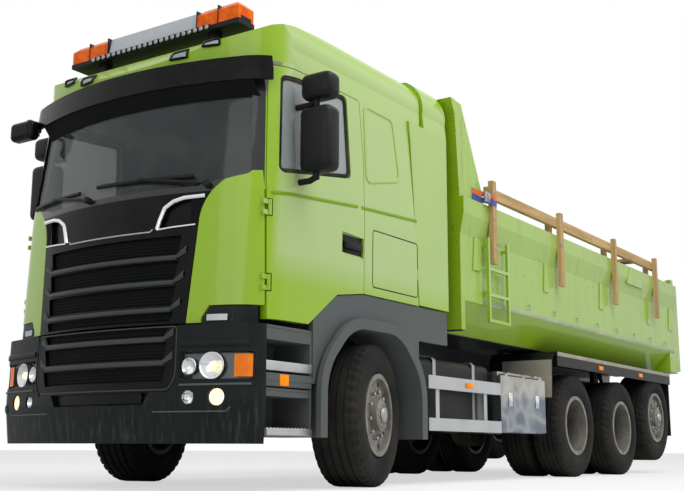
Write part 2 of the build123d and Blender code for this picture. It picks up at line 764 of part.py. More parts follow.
# Corner panels, with the fixed halves of the door hinges and the cut for the corner lamps
CORNER_CUT_Z = 1178.0
CORNER_CUT_Y = CORNER_IN_Y + 100
panel = between(cab_skin, cab_back, corner_window(0))
lamp_cut = [
    (CORNER_CUT_Y, CORNER_LOW_Z - 50),
    (CORNER_CUT_Y, CORNER_LOW_Z + 30),
    (CORNER_CUT_Y + 50, CORNER_CUT_Z),
    (1400, CORNER_CUT_Z),
    (1400, CORNER_LOW_Z - 50),
]
with BuildPart() as left_corner:
    add(panel)
    add(prism_x(lamp_cut, ahead(1000), ahead(1700)), mode=Mode.SUBTRACT)
    add(grown_x(screen_outline, screen_from_x, screen_to_x, 40, PANEL_GAP), mode=Mode.SUBTRACT)
    for z in HINGE_ROWS:
        for low, high in ((-HINGE_H + 8, -HINGE_H / 3), (HINGE_H / 3, HINGE_H - 8)):
            add(hinge_half(z + low, z + high, HINGE_R))
            add(block(HINGE_X, SEAM_X + 30, HINGE_Y - HINGE_R, HINGE_Y, z + low, z + high))
        add(hinge_half(z - HINGE_H + 8, z + HINGE_H - 8, HINGE_PIN_R))
with BuildPart() as corner_panels:
    add(left_corner.part)
    add(other_side(left_corner.part))
save(corner_panels.part, "corner_panels")

# Grille panel between the corners, with recessed bands between its bars
# Each band: bottom, top, half width at the bottom
GRILLE_BANDS = [
    (1080.0, 1140.0, 585.0),
    (1190.0, 1315.0, 590.0),
    (1365.0, 1485.0, 600.0),
    (1530.0, 1655.0, 610.0),
]
# Each side inlet corner: distance from the middle, height
INLET = [(455.0, 1712.0), (505.0, 1850.0), (640.0, 1905.0), (690.0, 1905.0), (665.0, 1730.0)]
with BuildPart() as openings:
    for low, high, half in GRILLE_BANDS:
        add(prism_x([(-half, low), (half, low), (half + 25, high), (-half - 25, high)],
                    ahead(1000), ahead(1700)))
    inlet = prism_x(INLET, ahead(1000), ahead(1700))
    add(inlet)
    add(other_side(inlet))
with BuildPart() as grille_panel:
    front = [(-1300, CORNER_LOW_Z), (1300, CORNER_LOW_Z), (1300, GRILLE_TOP_Z - FIT),
             (-1300, GRILLE_TOP_Z - FIT)]
    add(between(cab_skin, cab_back, prism_x(front, SEAM_X, ahead(1700))))
    beside = corner_window(PANEL_GAP)
    add(beside, mode=Mode.SUBTRACT)
    add(other_side(beside), mode=Mode.SUBTRACT)
    add(between(cab_skin, cab_loft(PANEL_T - 14), openings.part), mode=Mode.SUBTRACT)
save(grille_panel.part, "grille_panel")

# Bumper, lower grille and lamps
LOWER_GRILLE_Y = 672.0
LOWER_GRILLE_Z = 625.0
LAMP_LOW_Z = 695.0
LAMP_HIGH_Z = 880.0
NOTCH_Y = 420.0
NOTCH_Z = 545.0
bumper_skin = bumper_loft(0)
bumper_back = bumper_loft(BUMPER_T)
lamp_outline = [
    (LOWER_GRILLE_Y + 16, LAMP_LOW_Z + 12),
    (LOWER_GRILLE_Y + 12, LAMP_HIGH_Z),
    (CAB_HALF_W - 30, LAMP_HIGH_Z - 8),
    (CAB_HALF_W - 30, LAMP_LOW_Z),
]
# Each fog lamp: distance from the middle, height, radius
FOG_ROWS = [(755.0, 590.0, 48.0), (955.0, 590.0, 56.0)]
CORNER_LENS_T = 24.0


def corner_lens(growth):
    """Return the left corner lamp's window in front view, grown by growth."""
    y_low = CORNER_CUT_Y + 30
    return grown_x([(y_low, CORNER_LOW_Z + 8), (y_low, CORNER_LOW_Z + 60),
                    (y_low + 150, CORNER_LOW_Z + 60), (y_low + 205, CORNER_LOW_Z + 8)],
                   SEAM_X, ahead(1700), 8, growth)


def fog_lamps(growth):
    """Return the left fog lamps' bores along the truck, grown by growth."""
    with BuildPart() as made:
        for y, z, radius in FOG_ROWS:
            add(rod_x(y, z, radius + growth, ahead(1000), ahead(1700)))
    return made.part


with BuildPart() as lamp_house:
    house = [(CORNER_CUT_Y + 10, BUMPER_TOP_Z - 40), (CORNER_CUT_Y + 10, CORNER_LOW_Z + 30),
             (CORNER_CUT_Y + 60, CORNER_CUT_Z - PANEL_GAP), (1400, CORNER_CUT_Z - PANEL_GAP),
             (1400, BUMPER_TOP_Z - 40)]
    add(between(cab_loft(4), cab_back, prism_x(house, ahead(1245), ahead(1700))))
    add(between(cab_loft(-10), cab_loft(CORNER_LENS_T + FIT), corner_lens(0)), mode=Mode.SUBTRACT)
with BuildPart() as front_bumper:
    lower = [(-1400, 0), (1400, 0), (1400, 1300), (-1400, 1300)]
    add(between(bumper_skin, bumper_back, prism_x(lower, ahead(1245), ahead(1700))))
    mouth = [(NOTCH_Y, NOTCH_Z), (NOTCH_Y + 50, LOWER_GRILLE_Z), (LOWER_GRILLE_Y - 50, LOWER_GRILLE_Z),
             (LOWER_GRILLE_Y, LOWER_GRILLE_Z + 90), (LOWER_GRILLE_Y, 1300)]
    mouth += [(-y, z) for y, z in reversed(mouth)]
    add(prism_x(mouth, ahead(1000), ahead(1700)), mode=Mode.SUBTRACT)
    lamp_hole = prism_x(lamp_outline, ahead(1000), ahead(1700), 20)
    add(lamp_hole, mode=Mode.SUBTRACT)
    add(other_side(lamp_hole), mode=Mode.SUBTRACT)
    add(fog_lamps(0), mode=Mode.SUBTRACT)
    add(other_side(fog_lamps(0)), mode=Mode.SUBTRACT)
    add(lamp_house.part)
    add(other_side(lamp_house.part))
save(front_bumper.part, "front_bumper")

with BuildPart() as lower_grille:
    frame = [(-LOWER_GRILLE_Y + 50, LOWER_GRILLE_Z), (LOWER_GRILLE_Y - 50, LOWER_GRILLE_Z),
             (LOWER_GRILLE_Y, LOWER_GRILLE_Z + 90), (LOWER_GRILLE_Y, BUMPER_TOP_Z - 1),
             (-LOWER_GRILLE_Y, BUMPER_TOP_Z - 1), (-LOWER_GRILLE_Y, LOWER_GRILLE_Z + 90)]
    add(between(bumper_loft(6), bumper_loft(GRILLE_IN),
                grown_x(frame, ahead(1000), ahead(1700), 10, -FIT)))
    for low, high in ((690.0, 790.0), (835.0, 945.0), (985.0, 1040.0)):
        band = prism_x([(-560, low), (560, low), (590, high), (-590, high)],
                       ahead(1000), ahead(1700))
        add(between(bumper_skin, bumper_loft(32), band), mode=Mode.SUBTRACT)
    plate_holder = prism_x([(-NOTCH_Y + 30, NOTCH_Z + 10), (NOTCH_Y - 30, NOTCH_Z + 10),
                            (NOTCH_Y - 30, LOWER_GRILLE_Z + 20), (-NOTCH_Y + 30, LOWER_GRILLE_Z + 20)],
                           ahead(1000), ahead(1700))
    add(between(bumper_loft(28), bumper_loft(GRILLE_IN), plate_holder))
save(lower_grille.part, "lower_grille")

# Sun visor on three stays, light bar on the roof
with BuildPart() as sun_visor:
    shade = [(-1185, GUTTER_Z - 175), (1185, GUTTER_Z - 175), (1185, GUTTER_Z - 2),
             (-1185, GUTTER_Z - 2)]
    add(between(cab_loft(-95), cab_loft(-75), prism_x(shade, ahead(1190), ahead(1700))))
    for y in (-1120, 0, 1120):
        stay = [(y - 18, GUTTER_Z - 60), (y + 18, GUTTER_Z - 60), (y + 18, GUTTER_Z - 20),
                (y - 18, GUTTER_Z - 20)]
        add(between(cab_loft(-80), cab_loft(-FIT), prism_x(stay, ahead(1150), ahead(1700))))

# Front mirror hung from the right end of the visor
with BuildPart() as front_mirror:
    with Locations((ahead(1385), -1105, GUTTER_Z - 200)):
        Box(110, 250, 150)
    fillet(front_mirror.edges(), 40)
with BuildPart() as sun_visor_mirror:
    add(front_mirror.part)
    add(prism_x([(-1085, GUTTER_Z - 190), (-1045, GUTTER_Z - 190), (-1045, GUTTER_Z - 110),
                 (-1085, GUTTER_Z - 110)], ahead(1275), ahead(1390)))
with BuildPart() as sun_visor_whole:
    add(sun_visor.part)
    add(sun_visor_mirror.part)
save(sun_visor_whole.part, "sun_visor")

LIGHT_BAR_X = ahead(1085)
LIGHT_BAR_HALF = 850.0
LIGHT_BAR_Z = 3205.0
LENS_IN_Y = 455.0
LENS_H = 140.0
with BuildPart() as light_bar:
    for y in (-560, 560):
        add(block(LIGHT_BAR_X - 40, LIGHT_BAR_X + 40, y - 35, y + 35, GUTTER_Z + 150, LIGHT_BAR_Z + 12))
    add(roof_form(-FIT), mode=Mode.SUBTRACT)
    add(block(LIGHT_BAR_X - 90, LIGHT_BAR_X + 90, -LIGHT_BAR_HALF, LIGHT_BAR_HALF, LIGHT_BAR_Z,
              LIGHT_BAR_Z + 35))
    middle = [(LIGHT_BAR_X - 78, LIGHT_BAR_Z + 30), (LIGHT_BAR_X + 78, LIGHT_BAR_Z + 30),
              (LIGHT_BAR_X + 52, LIGHT_BAR_Z + 170), (LIGHT_BAR_X - 52, LIGHT_BAR_Z + 170)]
    add(prism_y(middle, -LENS_IN_Y + 4, LENS_IN_Y - 4))
save(light_bar.part, "light_bar")
with BuildPart() as beacon_lenses:
    for low, high in ((-LIGHT_BAR_HALF + 4, -LENS_IN_Y), (LENS_IN_Y, LIGHT_BAR_HALF - 4)):
        add(block(LIGHT_BAR_X - 84, LIGHT_BAR_X + 84, low, high, LIGHT_BAR_Z + 35, LIGHT_BAR_Z + 35 + LENS_H))
    chamfer(beacon_lenses.edges().group_by(Axis.Z)[-1], 40)
save(beacon_lenses.part, "beacon_lenses")

# Lamp lenses: head, fog and corner lamps, roof lamps and the strip under the light bar
# Each roof lamp: distance from the middle, height, half width, half height
ROOF_LAMPS = [(465.0, 2985.0, 68.0, 30.0), (715.0, 3035.0, 62.0, 20.0)]
with BuildPart() as roof_lamps:
    for y, z, half_y, half_z in ROOF_LAMPS:
        for middle_y in (y, -y):
            add(block(ahead(1100), ahead(1450), middle_y - half_y, middle_y + half_y,
                      z - half_z, z + half_z))
    add(roof_form(-8), mode=Mode.INTERSECT)
    add(roof_form(-FIT), mode=Mode.SUBTRACT)
with BuildPart() as headlamps:
    for window in (grown_x(lamp_outline, ahead(1246), ahead(1700), 20, -FIT), fog_lamps(-FIT)):
        lens = between(bumper_loft(5), bumper_loft(BUMPER_T - 5), window)
        add(lens)
        add(other_side(lens))
    corner = between(cab_skin, cab_loft(CORNER_LENS_T), corner_lens(-FIT))
    add(corner)
    add(other_side(corner))
    add(roof_lamps.part)
    add(block(LIGHT_BAR_X + 90 + FIT, LIGHT_BAR_X + 118, -610, 610, LIGHT_BAR_Z - 8, LIGHT_BAR_Z + 34))
save(headlamps.part, "headlamps")

with BuildPart() as hood:
    with BuildSketch(Plane.YZ.offset(ahead(DEFLECTOR_BACK))):
        add(roof_arch(-20))
        make_face()
    extrude(amount=CAB_BACK_X - ahead(DEFLECTOR_BACK))
    with BuildSketch(Plane.YZ.offset(ahead(DEFLECTOR_BACK))):
        add(roof_arch(25))
        make_face()
    extrude(amount=CAB_BACK_X - ahead(DEFLECTOR_BACK), mode=Mode.SUBTRACT)
with BuildPart() as air_deflectors:
    side = prism_y(deflector_side, DEFLECTOR_IN_Y, DEFLECTOR_OUT_Y)
    add(side)
    add(other_side(side))
    add(hood.part)
save(air_deflectors.part, "air_deflectors")

# Front mudguards, with the panel up to the door and the panel behind the cab
ARCH_HALF_L = 640.0
ARCH_TOP_Z = 1115.0
ARCH_IN_Y = 850.0
ARCH_OUT_Y = 1262.0
ARCH_BOTTOM_Z = 345.0
LIP = 78.0
ARCH_ROUND_R = 400.0


def arch_block(growth, bottom_z, y_low, y_high):
    """Return the wheel opening, grown by growth and rounded over, from y_low to y_high."""
    outline = [
        (ahead(ARCH_HALF_L + growth), bottom_z),
        (ahead(ARCH_HALF_L + growth), 800 + growth / 3),
        (ahead(ARCH_HALF_L / 2 + growth / 2), ARCH_TOP_Z + growth),
        (ahead(-ARCH_HALF_L / 2 - growth / 2), ARCH_TOP_Z + growth),
        (ahead(-ARCH_HALF_L - growth), 800 + growth / 3),
        (ahead(-ARCH_HALF_L - growth), bottom_z),
    ]
    with BuildPart() as made:
        with BuildSketch(Plane.XZ.offset(-y_high)) as face:
            with BuildLine():
                Polyline(*outline, close=True)
            make_face()
            fillet(face.vertices().filter_by_position(Axis.Y, 700, 2000), ARCH_ROUND_R + growth)
        extrude(amount=y_high - y_low)
    return made.part


PANEL_OUT_Y = CAB_HALF_W - 15
with BuildPart() as left_guard:
    add(arch_block(16, ARCH_BOTTOM_Z, ARCH_IN_Y, ARCH_OUT_Y - 40))
    add(arch_block(LIP, ARCH_BOTTOM_Z, ARCH_OUT_Y - 40, ARCH_OUT_Y))
    upper = [
        (ahead(STEP_X - 60), 700),
        (ahead(STEP_X - 60), STEP_Z + 40),
        (ahead(ARCH_X), ARCH_Z - PANEL_GAP),
        (ahead(110), CAB_FLOOR_Z - PANEL_GAP),
        (ahead(-700), CAB_FLOOR_Z - PANEL_GAP),
        (ahead(-700), 700),
    ]
    add(prism_y(upper, PANEL_OUT_Y - 40, PANEL_OUT_Y))
    add(block(ahead(-1170), ahead(-690), PANEL_OUT_Y - 40, PANEL_OUT_Y, 1110, CAB_FLOOR_Z - 6))
    add(arch_block(0, 0, 0, 1500), mode=Mode.SUBTRACT)
    add(block(ahead(-ARCH_HALF_L - 60), ahead(-ARCH_HALF_L - 8), FRAME_HALF_W + FIT,
              ARCH_IN_Y + 10, 700, 760))
with BuildPart() as front_mudguards:
    add(left_guard.part)
    add(other_side(left_guard.part))
save(front_mudguards.part, "front_mudguards")

# Entry steps between the bumper and the wheel opening
STEP_FRONT = 1240.0
STEP_REAR = ARCH_HALF_L + LIP + 14
with BuildPart() as left_steps:
    add(block(ahead(STEP_REAR), ahead(STEP_FRONT), 860, 880, 345, 1050))
    add(block(ahead(STEP_REAR), ahead(STEP_REAR + 20), 860, 1190, 345, 1050))
    add(block(ahead(STEP_FRONT - 20), ahead(STEP_FRONT), 860, 1120, 345, 1050))
    # Each tread: bottom, top, outer edge
    for low, high, out_y in ((345.0, 395.0, 1200.0), (600.0, 650.0, 1185.0),
                             (700.0, 735.0, 1200.0), (960.0, 1050.0, 1190.0)):
        add(block(ahead(STEP_REAR), ahead(STEP_FRONT), 860, out_y, low, high))
    add(block(ahead(980), ahead(1060), FRAME_HALF_W + FIT, 865, 860, 930))
with BuildPart() as cab_steps:
    add(left_steps.part)
    add(other_side(left_steps.part))
save(cab_steps.part, "cab_steps")

# Inside the cab
with BuildPart() as seats:
    for y in (-620, 620):
        add(block(ahead(0), ahead(480), y - 250, y + 250, CAB_FLOOR_Z + CAB_WALL + FIT, 1830))
        add(prism_y([(ahead(-20), 1700), (ahead(110), 1700), (ahead(-20), 2620), (ahead(-130), 2620)],
                    y - 230, y + 230))
    add(block(CAB_BACK_X + CAB_WALL + FIT, ahead(-190), -1050, 1050, 1700, 1830))
save(seats.part, "seats")
with BuildPart() as dashboard:
    add(prism_y([(ahead(1150) - FIT, 1500), (ahead(1150) - FIT, 1940), (ahead(930), 1960), (ahead(860), 1850),
                 (ahead(930), 1500)], -1060, 1060))
    column = Plane((ahead(900), 620, 1850), x_dir=(0, 1, 0), z_dir=(-0.55, 0, 0.83))
    with Locations(column):
        Cylinder(30, 320)
    wheel_plane = column.offset(150)
    with BuildSketch(wheel_plane):
        Circle(225)
        Circle(195, mode=Mode.SUBTRACT)
        Rectangle(400, 40)
    extrude(amount=26)
save(dashboard.part, "dashboard")

with BuildPart() as engine:
    add(block(ahead(-350), ahead(900), -280, 280, TYRE_R + 10, 1060))
    add(block(ahead(-350), ahead(900), -400, 400, 1045, 1315))
    add(block(ahead(-860), ahead(-350), -230, 230, TYRE_R + 10, 950))
    add(rod_x(0, 600, 55, DRIVE_1_X + 330 + FIT, ahead(-850)))
    add(block(ahead(960), ahead(1120), -285, 285, 560, 1050))
    add(block(ahead(890), ahead(970), -100, 100, 700, 800))
    add(block(ahead(100), ahead(180), -FRAME_HALF_W + RAIL_T + FIT, FRAME_HALF_W - RAIL_T - FIT,
              RAIL_BOTTOM_Z + 30, FRAME_TOP_Z - 30))
save(engine.part, "engine")

# Leaf packs over each axle, hung on the frame's outer faces
SPRING_W = 90.0
SPRING_Y = FRAME_HALF_W + FIT
with BuildPart() as left_springs:
    # Each pack: middle X, seat height, half length
    packs = [
        (FRONT_AXLE_X, TYRE_R - 20 + FIT, 780.0),
        ((DRIVE_1_X + DRIVE_2_X) / 2, TYRE_R + 105, 760.0),
    ]
    for x, low, half in packs:
        add(prism_y([(x - half, low + 130), (x - half, low + 155), (x - half / 2, low + 75),
                     (x + half / 2, low + 75), (x + half, low + 155), (x + half, low + 130),
                     (x + 160, low), (x - 160, low)], SPRING_Y, SPRING_Y + SPRING_W))
    # Each hanger: middle X, half length, bottom, top
    hangers = [
        ((DRIVE_1_X + DRIVE_2_X) / 2, 70.0, TYRE_R + 170, RAIL_BOTTOM_Z + 120),
        (DRIVE_1_X, 60.0, TYRE_R + AXLE_TUBE_R + FIT, TYRE_R + 240),
        (DRIVE_2_X, 60.0, TYRE_R + AXLE_TUBE_R + FIT, TYRE_R + 240),
        (FRONT_AXLE_X - 760, 40.0, TYRE_R + 110, RAIL_BOTTOM_Z + 140),
        (FRONT_AXLE_X + 760, 40.0, TYRE_R + 110, RAIL_BOTTOM_Z + 140),
        (TAG_X, 60.0, TAG_HUB_Z + AXLE_TUBE_R + FIT, FRAME_TOP_Z - 60),
    ]
    for x, half, low, high in hangers:
        add(block(x - half, x + half, SPRING_Y, SPRING_Y + SPRING_W, low, high))
with BuildPart() as springs:
    add(left_springs.part)
    add(other_side(left_springs.part))
save(springs.part, "springs")

# Tanks, side guards and the toolbox
TANK_FRONT = -800.0
TANK_REAR = -2060.0
with BuildPart() as tanks:
    for low_y, high_y in ((470, 1120), (-1120, -470)):
        add(block(ahead(TANK_REAR), ahead(TANK_FRONT), low_y, high_y, 440, 1010))
    fillet(tanks.edges().filter_by(Axis.X), 70)
    for side_y in (1, -1):
        for x in (TANK_FRONT - 250, TANK_REAR + 250):
            low_y, high_y = sorted((side_y * (FRAME_HALF_W + FIT), side_y * 480))
            add(block(ahead(x - 40), ahead(x + 40), low_y, high_y, 800, 930))
save(tanks.part, "tanks")

with BuildPart() as left_guard_rails:
    add(block(ahead(-2090), ahead(-790), 1195, 1235, 745, 850))
    add(block(ahead(-2090), ahead(-790), 1195, 1235, 415, 515))
    for x in (-1000, -1860):
        add(block(ahead(x - 30), ahead(x + 30), 1120 + FIT, 1196, 470, 850))
with BuildPart() as side_guards:
    add(left_guard_rails.part)
    add(other_side(left_guard_rails.part))
save(side_guards.part, "side_guards")

BOX_FRONT = -2115.0
BOX_REAR = -3105.0
BOX_IN_Y = 640.0
BOX_OUT_Y = 1190.0
BOX_LOW_Z = 420.0
BOX_HIGH_Z = 960.0
LID_T = 26.0
LID_HINGE_Z = BOX_HIGH_Z - 20
LID_HINGE_Y = BOX_OUT_Y + 22
with BuildPart() as toolbox:
    add(block(ahead(BOX_REAR), ahead(BOX_FRONT), BOX_IN_Y, BOX_OUT_Y, BOX_LOW_Z, BOX_HIGH_Z))
    add(block(ahead(BOX_REAR + 25), ahead(BOX_FRONT - 25), BOX_IN_Y + 25, BOX_OUT_Y + 10,
              BOX_LOW_Z + 25, BOX_HIGH_Z - 25), mode=Mode.SUBTRACT)
    for x in (BOX_FRONT - 200, BOX_REAR + 200):
        add(block(ahead(x - 40), ahead(x + 40), FRAME_HALF_W + FIT, BOX_IN_Y + 5, 800, 930))
        add(block(ahead(x - 30), ahead(x + 30), BOX_OUT_Y - 12, LID_HINGE_Y, LID_HINGE_Z + 9, BOX_HIGH_Z))
    add(rod_x(LID_HINGE_Y, LID_HINGE_Z, 6, ahead(BOX_REAR + 100), ahead(BOX_FRONT - 100)))
    for x in (BOX_FRONT - 200, BOX_REAR + 200):
        add(block(ahead(x - 30), ahead(x + 30), LID_HINGE_Y - 6, LID_HINGE_Y, LID_HINGE_Z, BOX_HIGH_Z))
save(toolbox.part, "toolbox")
with BuildPart() as toolbox_lid:
    add(block(ahead(BOX_REAR + 4), ahead(BOX_FRONT - 4), BOX_OUT_Y + 5, BOX_OUT_Y + 5 + LID_T,
              BOX_LOW_Z + 6, LID_HINGE_Z - 14))
    for x in (BOX_FRONT - 130, BOX_REAR + 130, (BOX_FRONT + BOX_REAR) / 2):
        add(block(ahead(x - 28), ahead(x + 28), BOX_OUT_Y + 8, BOX_OUT_Y + 5 + LID_T,
                  LID_HINGE_Z - 20, LID_HINGE_Z))
        add(rod_x(LID_HINGE_Y, LID_HINGE_Z, 11, ahead(x - 28), ahead(x + 28)))
    add(rod_x(LID_HINGE_Y, LID_HINGE_Z, 6 + FIT, ahead(BOX_REAR), ahead(BOX_FRONT)), mode=Mode.SUBTRACT)
save(toolbox_lid.part, "toolbox_lid")

# Rear mudguards over the driven and tag wheels
GUARD_TOP_Z = BED_BOTTOM_Z - 25
GUARD_T = 15.0
GUARD_FRONT_X = DRIVE_1_X + TYRE_R + 75
GUARD_REAR_X = TAG_X - TYRE_R - 25
with BuildPart() as left_cover:
    outline = [
        (GUARD_REAR_X, GUARD_TOP_Z),
        (GUARD_FRONT_X - 70, GUARD_TOP_Z),
        (GUARD_FRONT_X, GUARD_TOP_Z - 80),
        (GUARD_FRONT_X + 30, 770),
        (GUARD_FRONT_X + 30 - GUARD_T, 770),
        (GUARD_FRONT_X - GUARD_T, GUARD_TOP_Z - 85),
        (GUARD_FRONT_X - 75, GUARD_TOP_Z - GUARD_T),
        (GUARD_REAR_X, GUARD_TOP_Z - GUARD_T),
    ]
    add(prism_y(outline, 560, 1235))
    add(block(GUARD_REAR_X, GUARD_FRONT_X - 80, 1255, 1263, GUARD_TOP_Z - 140, GUARD_TOP_Z - 40))
    add(block(GUARD_REAR_X, GUARD_FRONT_X - 80, 1230, 1263, GUARD_TOP_Z - 44, GUARD_TOP_Z))
    add(block(GUARD_REAR_X - 10, GUARD_REAR_X, 860, 1240, 450, GUARD_TOP_Z - 20))
    add(block(GUARD_REAR_X - 10, GUARD_REAR_X + 8, 860, 1240, GUARD_TOP_Z - 34, GUARD_TOP_Z - 10))
    posts = ((DRIVE_1_X + DRIVE_2_X) / 2, (DRIVE_2_X + TAG_X) / 2)
    for x in posts:
        add(block(x - 25, x + 25, FRAME_HALF_W + FIT, 700, 955, 1005))
        add(block(x - 25, x + 25, 650, 700, 955, GUARD_TOP_Z - 5))
with BuildPart() as rear_mudguards:
    add(left_cover.part)
    add(other_side(left_cover.part))
save(rear_mudguards.part, "rear_mudguards")

# Tipper subframe on the frame rails, with the rear pivot tube and the hoist foot
SUB_TOP_Z = FRAME_TOP_Z + 92
RUNNER_LOW_Z = SUB_TOP_Z + 8
SUB_FRONT_X = BED_FRONT_X - 60
with BuildPart() as tipper_subframe:
    for low_y, high_y in ((300, 380), (-380, -300)):
        add(block(PIVOT_X - 55, SUB_FRONT_X, low_y, high_y, FRAME_TOP_Z, SUB_TOP_Z))
        add(block(PIVOT_X - 55, PIVOT_X + 55, low_y, high_y, FRAME_TOP_Z, PIVOT_Z))
    for x in (SUB_FRONT_X - 80, DRIVE_1_X, DRIVE_2_X):
        add(block(x - 40, x + 40, -310, 310, FRAME_TOP_Z + 10, SUB_TOP_Z - 10))
    add(rod_y(PIVOT_X, PIVOT_Z, PIVOT_R, -470, 470))
    foot_half = 150.0
    for low_y, high_y in ((foot_half - 30, foot_half), (-foot_half, -foot_half + 30)):
        add(block(HOIST_FOOT_X - 70, HOIST_FOOT_X + 70, low_y, high_y, HOIST_FOOT_Z - 110,
                  HOIST_FOOT_Z + 70))
    add(block(HOIST_FOOT_X - 70, HOIST_FOOT_X + 70, -FRAME_HALF_W + RAIL_T + FIT,
              FRAME_HALF_W - RAIL_T - FIT, HOIST_FOOT_Z - 150, HOIST_FOOT_Z - 108))
    add(rod_y(HOIST_FOOT_X, HOIST_FOOT_Z, 28, -foot_half, foot_half))
save(tipper_subframe.part, "tipper_subframe")

# Tipping bed: open tub, headboard, rear posts, pivot lugs and hoist cheeks
BED_REAR_X = TAIL_X + GATE_T + 5
POST_L = 290.0
CHEEK_IN_Y = 86.0
outer_section = [
    (-BED_KEEL_Y, BED_BOTTOM_Z),
    (BED_KEEL_Y, BED_BOTTOM_Z),
    (BED_HALF_W, BED_SLOPE_Z),
    (BED_HALF_W, BED_TOP_Z - 330),
    (BED_HALF_W + RAIL_OUT, BED_TOP_Z - 145),
    (BED_HALF_W + RAIL_OUT, BED_TOP_Z),
    (-BED_HALF_W - RAIL_OUT, BED_TOP_Z),
    (-BED_HALF_W - RAIL_OUT, BED_TOP_Z - 145),
    (-BED_HALF_W, BED_TOP_Z - 330),
    (-BED_HALF_W, BED_SLOPE_Z),
]
inner_y = BED_HALF_W - BED_WALL
inner_section = [
    (-BED_KEEL_Y + 25, BED_BOTTOM_Z + BED_FLOOR_T),
    (BED_KEEL_Y - 25, BED_BOTTOM_Z + BED_FLOOR_T),
    (inner_y, BED_SLOPE_Z + 35),
    (inner_y, BED_TOP_Z + 10),
    (-inner_y, BED_TOP_Z + 10),
    (-inner_y, BED_SLOPE_Z + 35),
]
headboard = [
    (BED_FRONT_X, BED_BOTTOM_Z),
    (BED_FRONT_X, BED_TOP_Z + 40),
    (BED_FRONT_X + 60, HEADBOARD_TOP_Z - 135),
    (BED_FRONT_X + 130, HEADBOARD_TOP_Z),
    (BED_FRONT_X + 62, HEADBOARD_TOP_Z),
    (BED_FRONT_X - 10, HEADBOARD_TOP_Z - 135),
    (BED_FRONT_X - HEADBOARD_T, BED_TOP_Z + 40),
    (BED_FRONT_X - HEADBOARD_T, BED_BOTTOM_Z),
]
gusset = [
    (BED_FRONT_X, BED_TOP_Z - 10),
    (BED_FRONT_X, BED_TOP_Z + 40),
    (BED_FRONT_X + 60, HEADBOARD_TOP_Z - 135),
    (BED_FRONT_X + 130, HEADBOARD_TOP_Z),
    (BED_FRONT_X - 60, HEADBOARD_TOP_Z - 15),
    (BED_FRONT_X - 430, BED_TOP_Z + 120),
    (BED_FRONT_X - 460, BED_TOP_Z - 10),
]
lug = [
    (PIVOT_X - 85, PIVOT_Z - 40),
    (PIVOT_X - 40, PIVOT_Z - 85),
    (PIVOT_X + 40, PIVOT_Z - 85),
    (PIVOT_X + 85, PIVOT_Z - 40),
    (PIVOT_X + 200, BED_BOTTOM_Z + 5),
    (PIVOT_X - 140, BED_BOTTOM_Z + 5),
]
cheek = [
    (BED_FRONT_X - 5, HOIST_EYE_Z - 160),
    (BED_FRONT_X - 5, HOIST_EYE_Z + 140),
    (HOIST_EYE_X + 30, HOIST_EYE_Z + 80),
    (HOIST_EYE_X + 75, HOIST_EYE_Z),
    (HOIST_EYE_X + 30, HOIST_EYE_Z - 80),
]
# Sloped housing that gives the hoist room in the front wall and floor while the bed tips
HOUSING_DEPTH = 395.0
HOUSING_TOP_Z = HOIST_EYE_Z - 240
HOUSING_HALF_W = 150.0
HOUSING_WALL = 16.0


def hoist_room(wall):
    """Return the sloped room behind the headboard's face, grown by wall."""
    outline = [
        (BED_FRONT_X + 20, BED_BOTTOM_Z - 10),
        (BED_FRONT_X + 20, HOUSING_TOP_Z + 2 * wall),
        (BED_FRONT_X - HOUSING_DEPTH - wall, BED_BOTTOM_Z - 10),
    ]
    return prism_y(outline, -HOUSING_HALF_W - wall, HOUSING_HALF_W + wall)


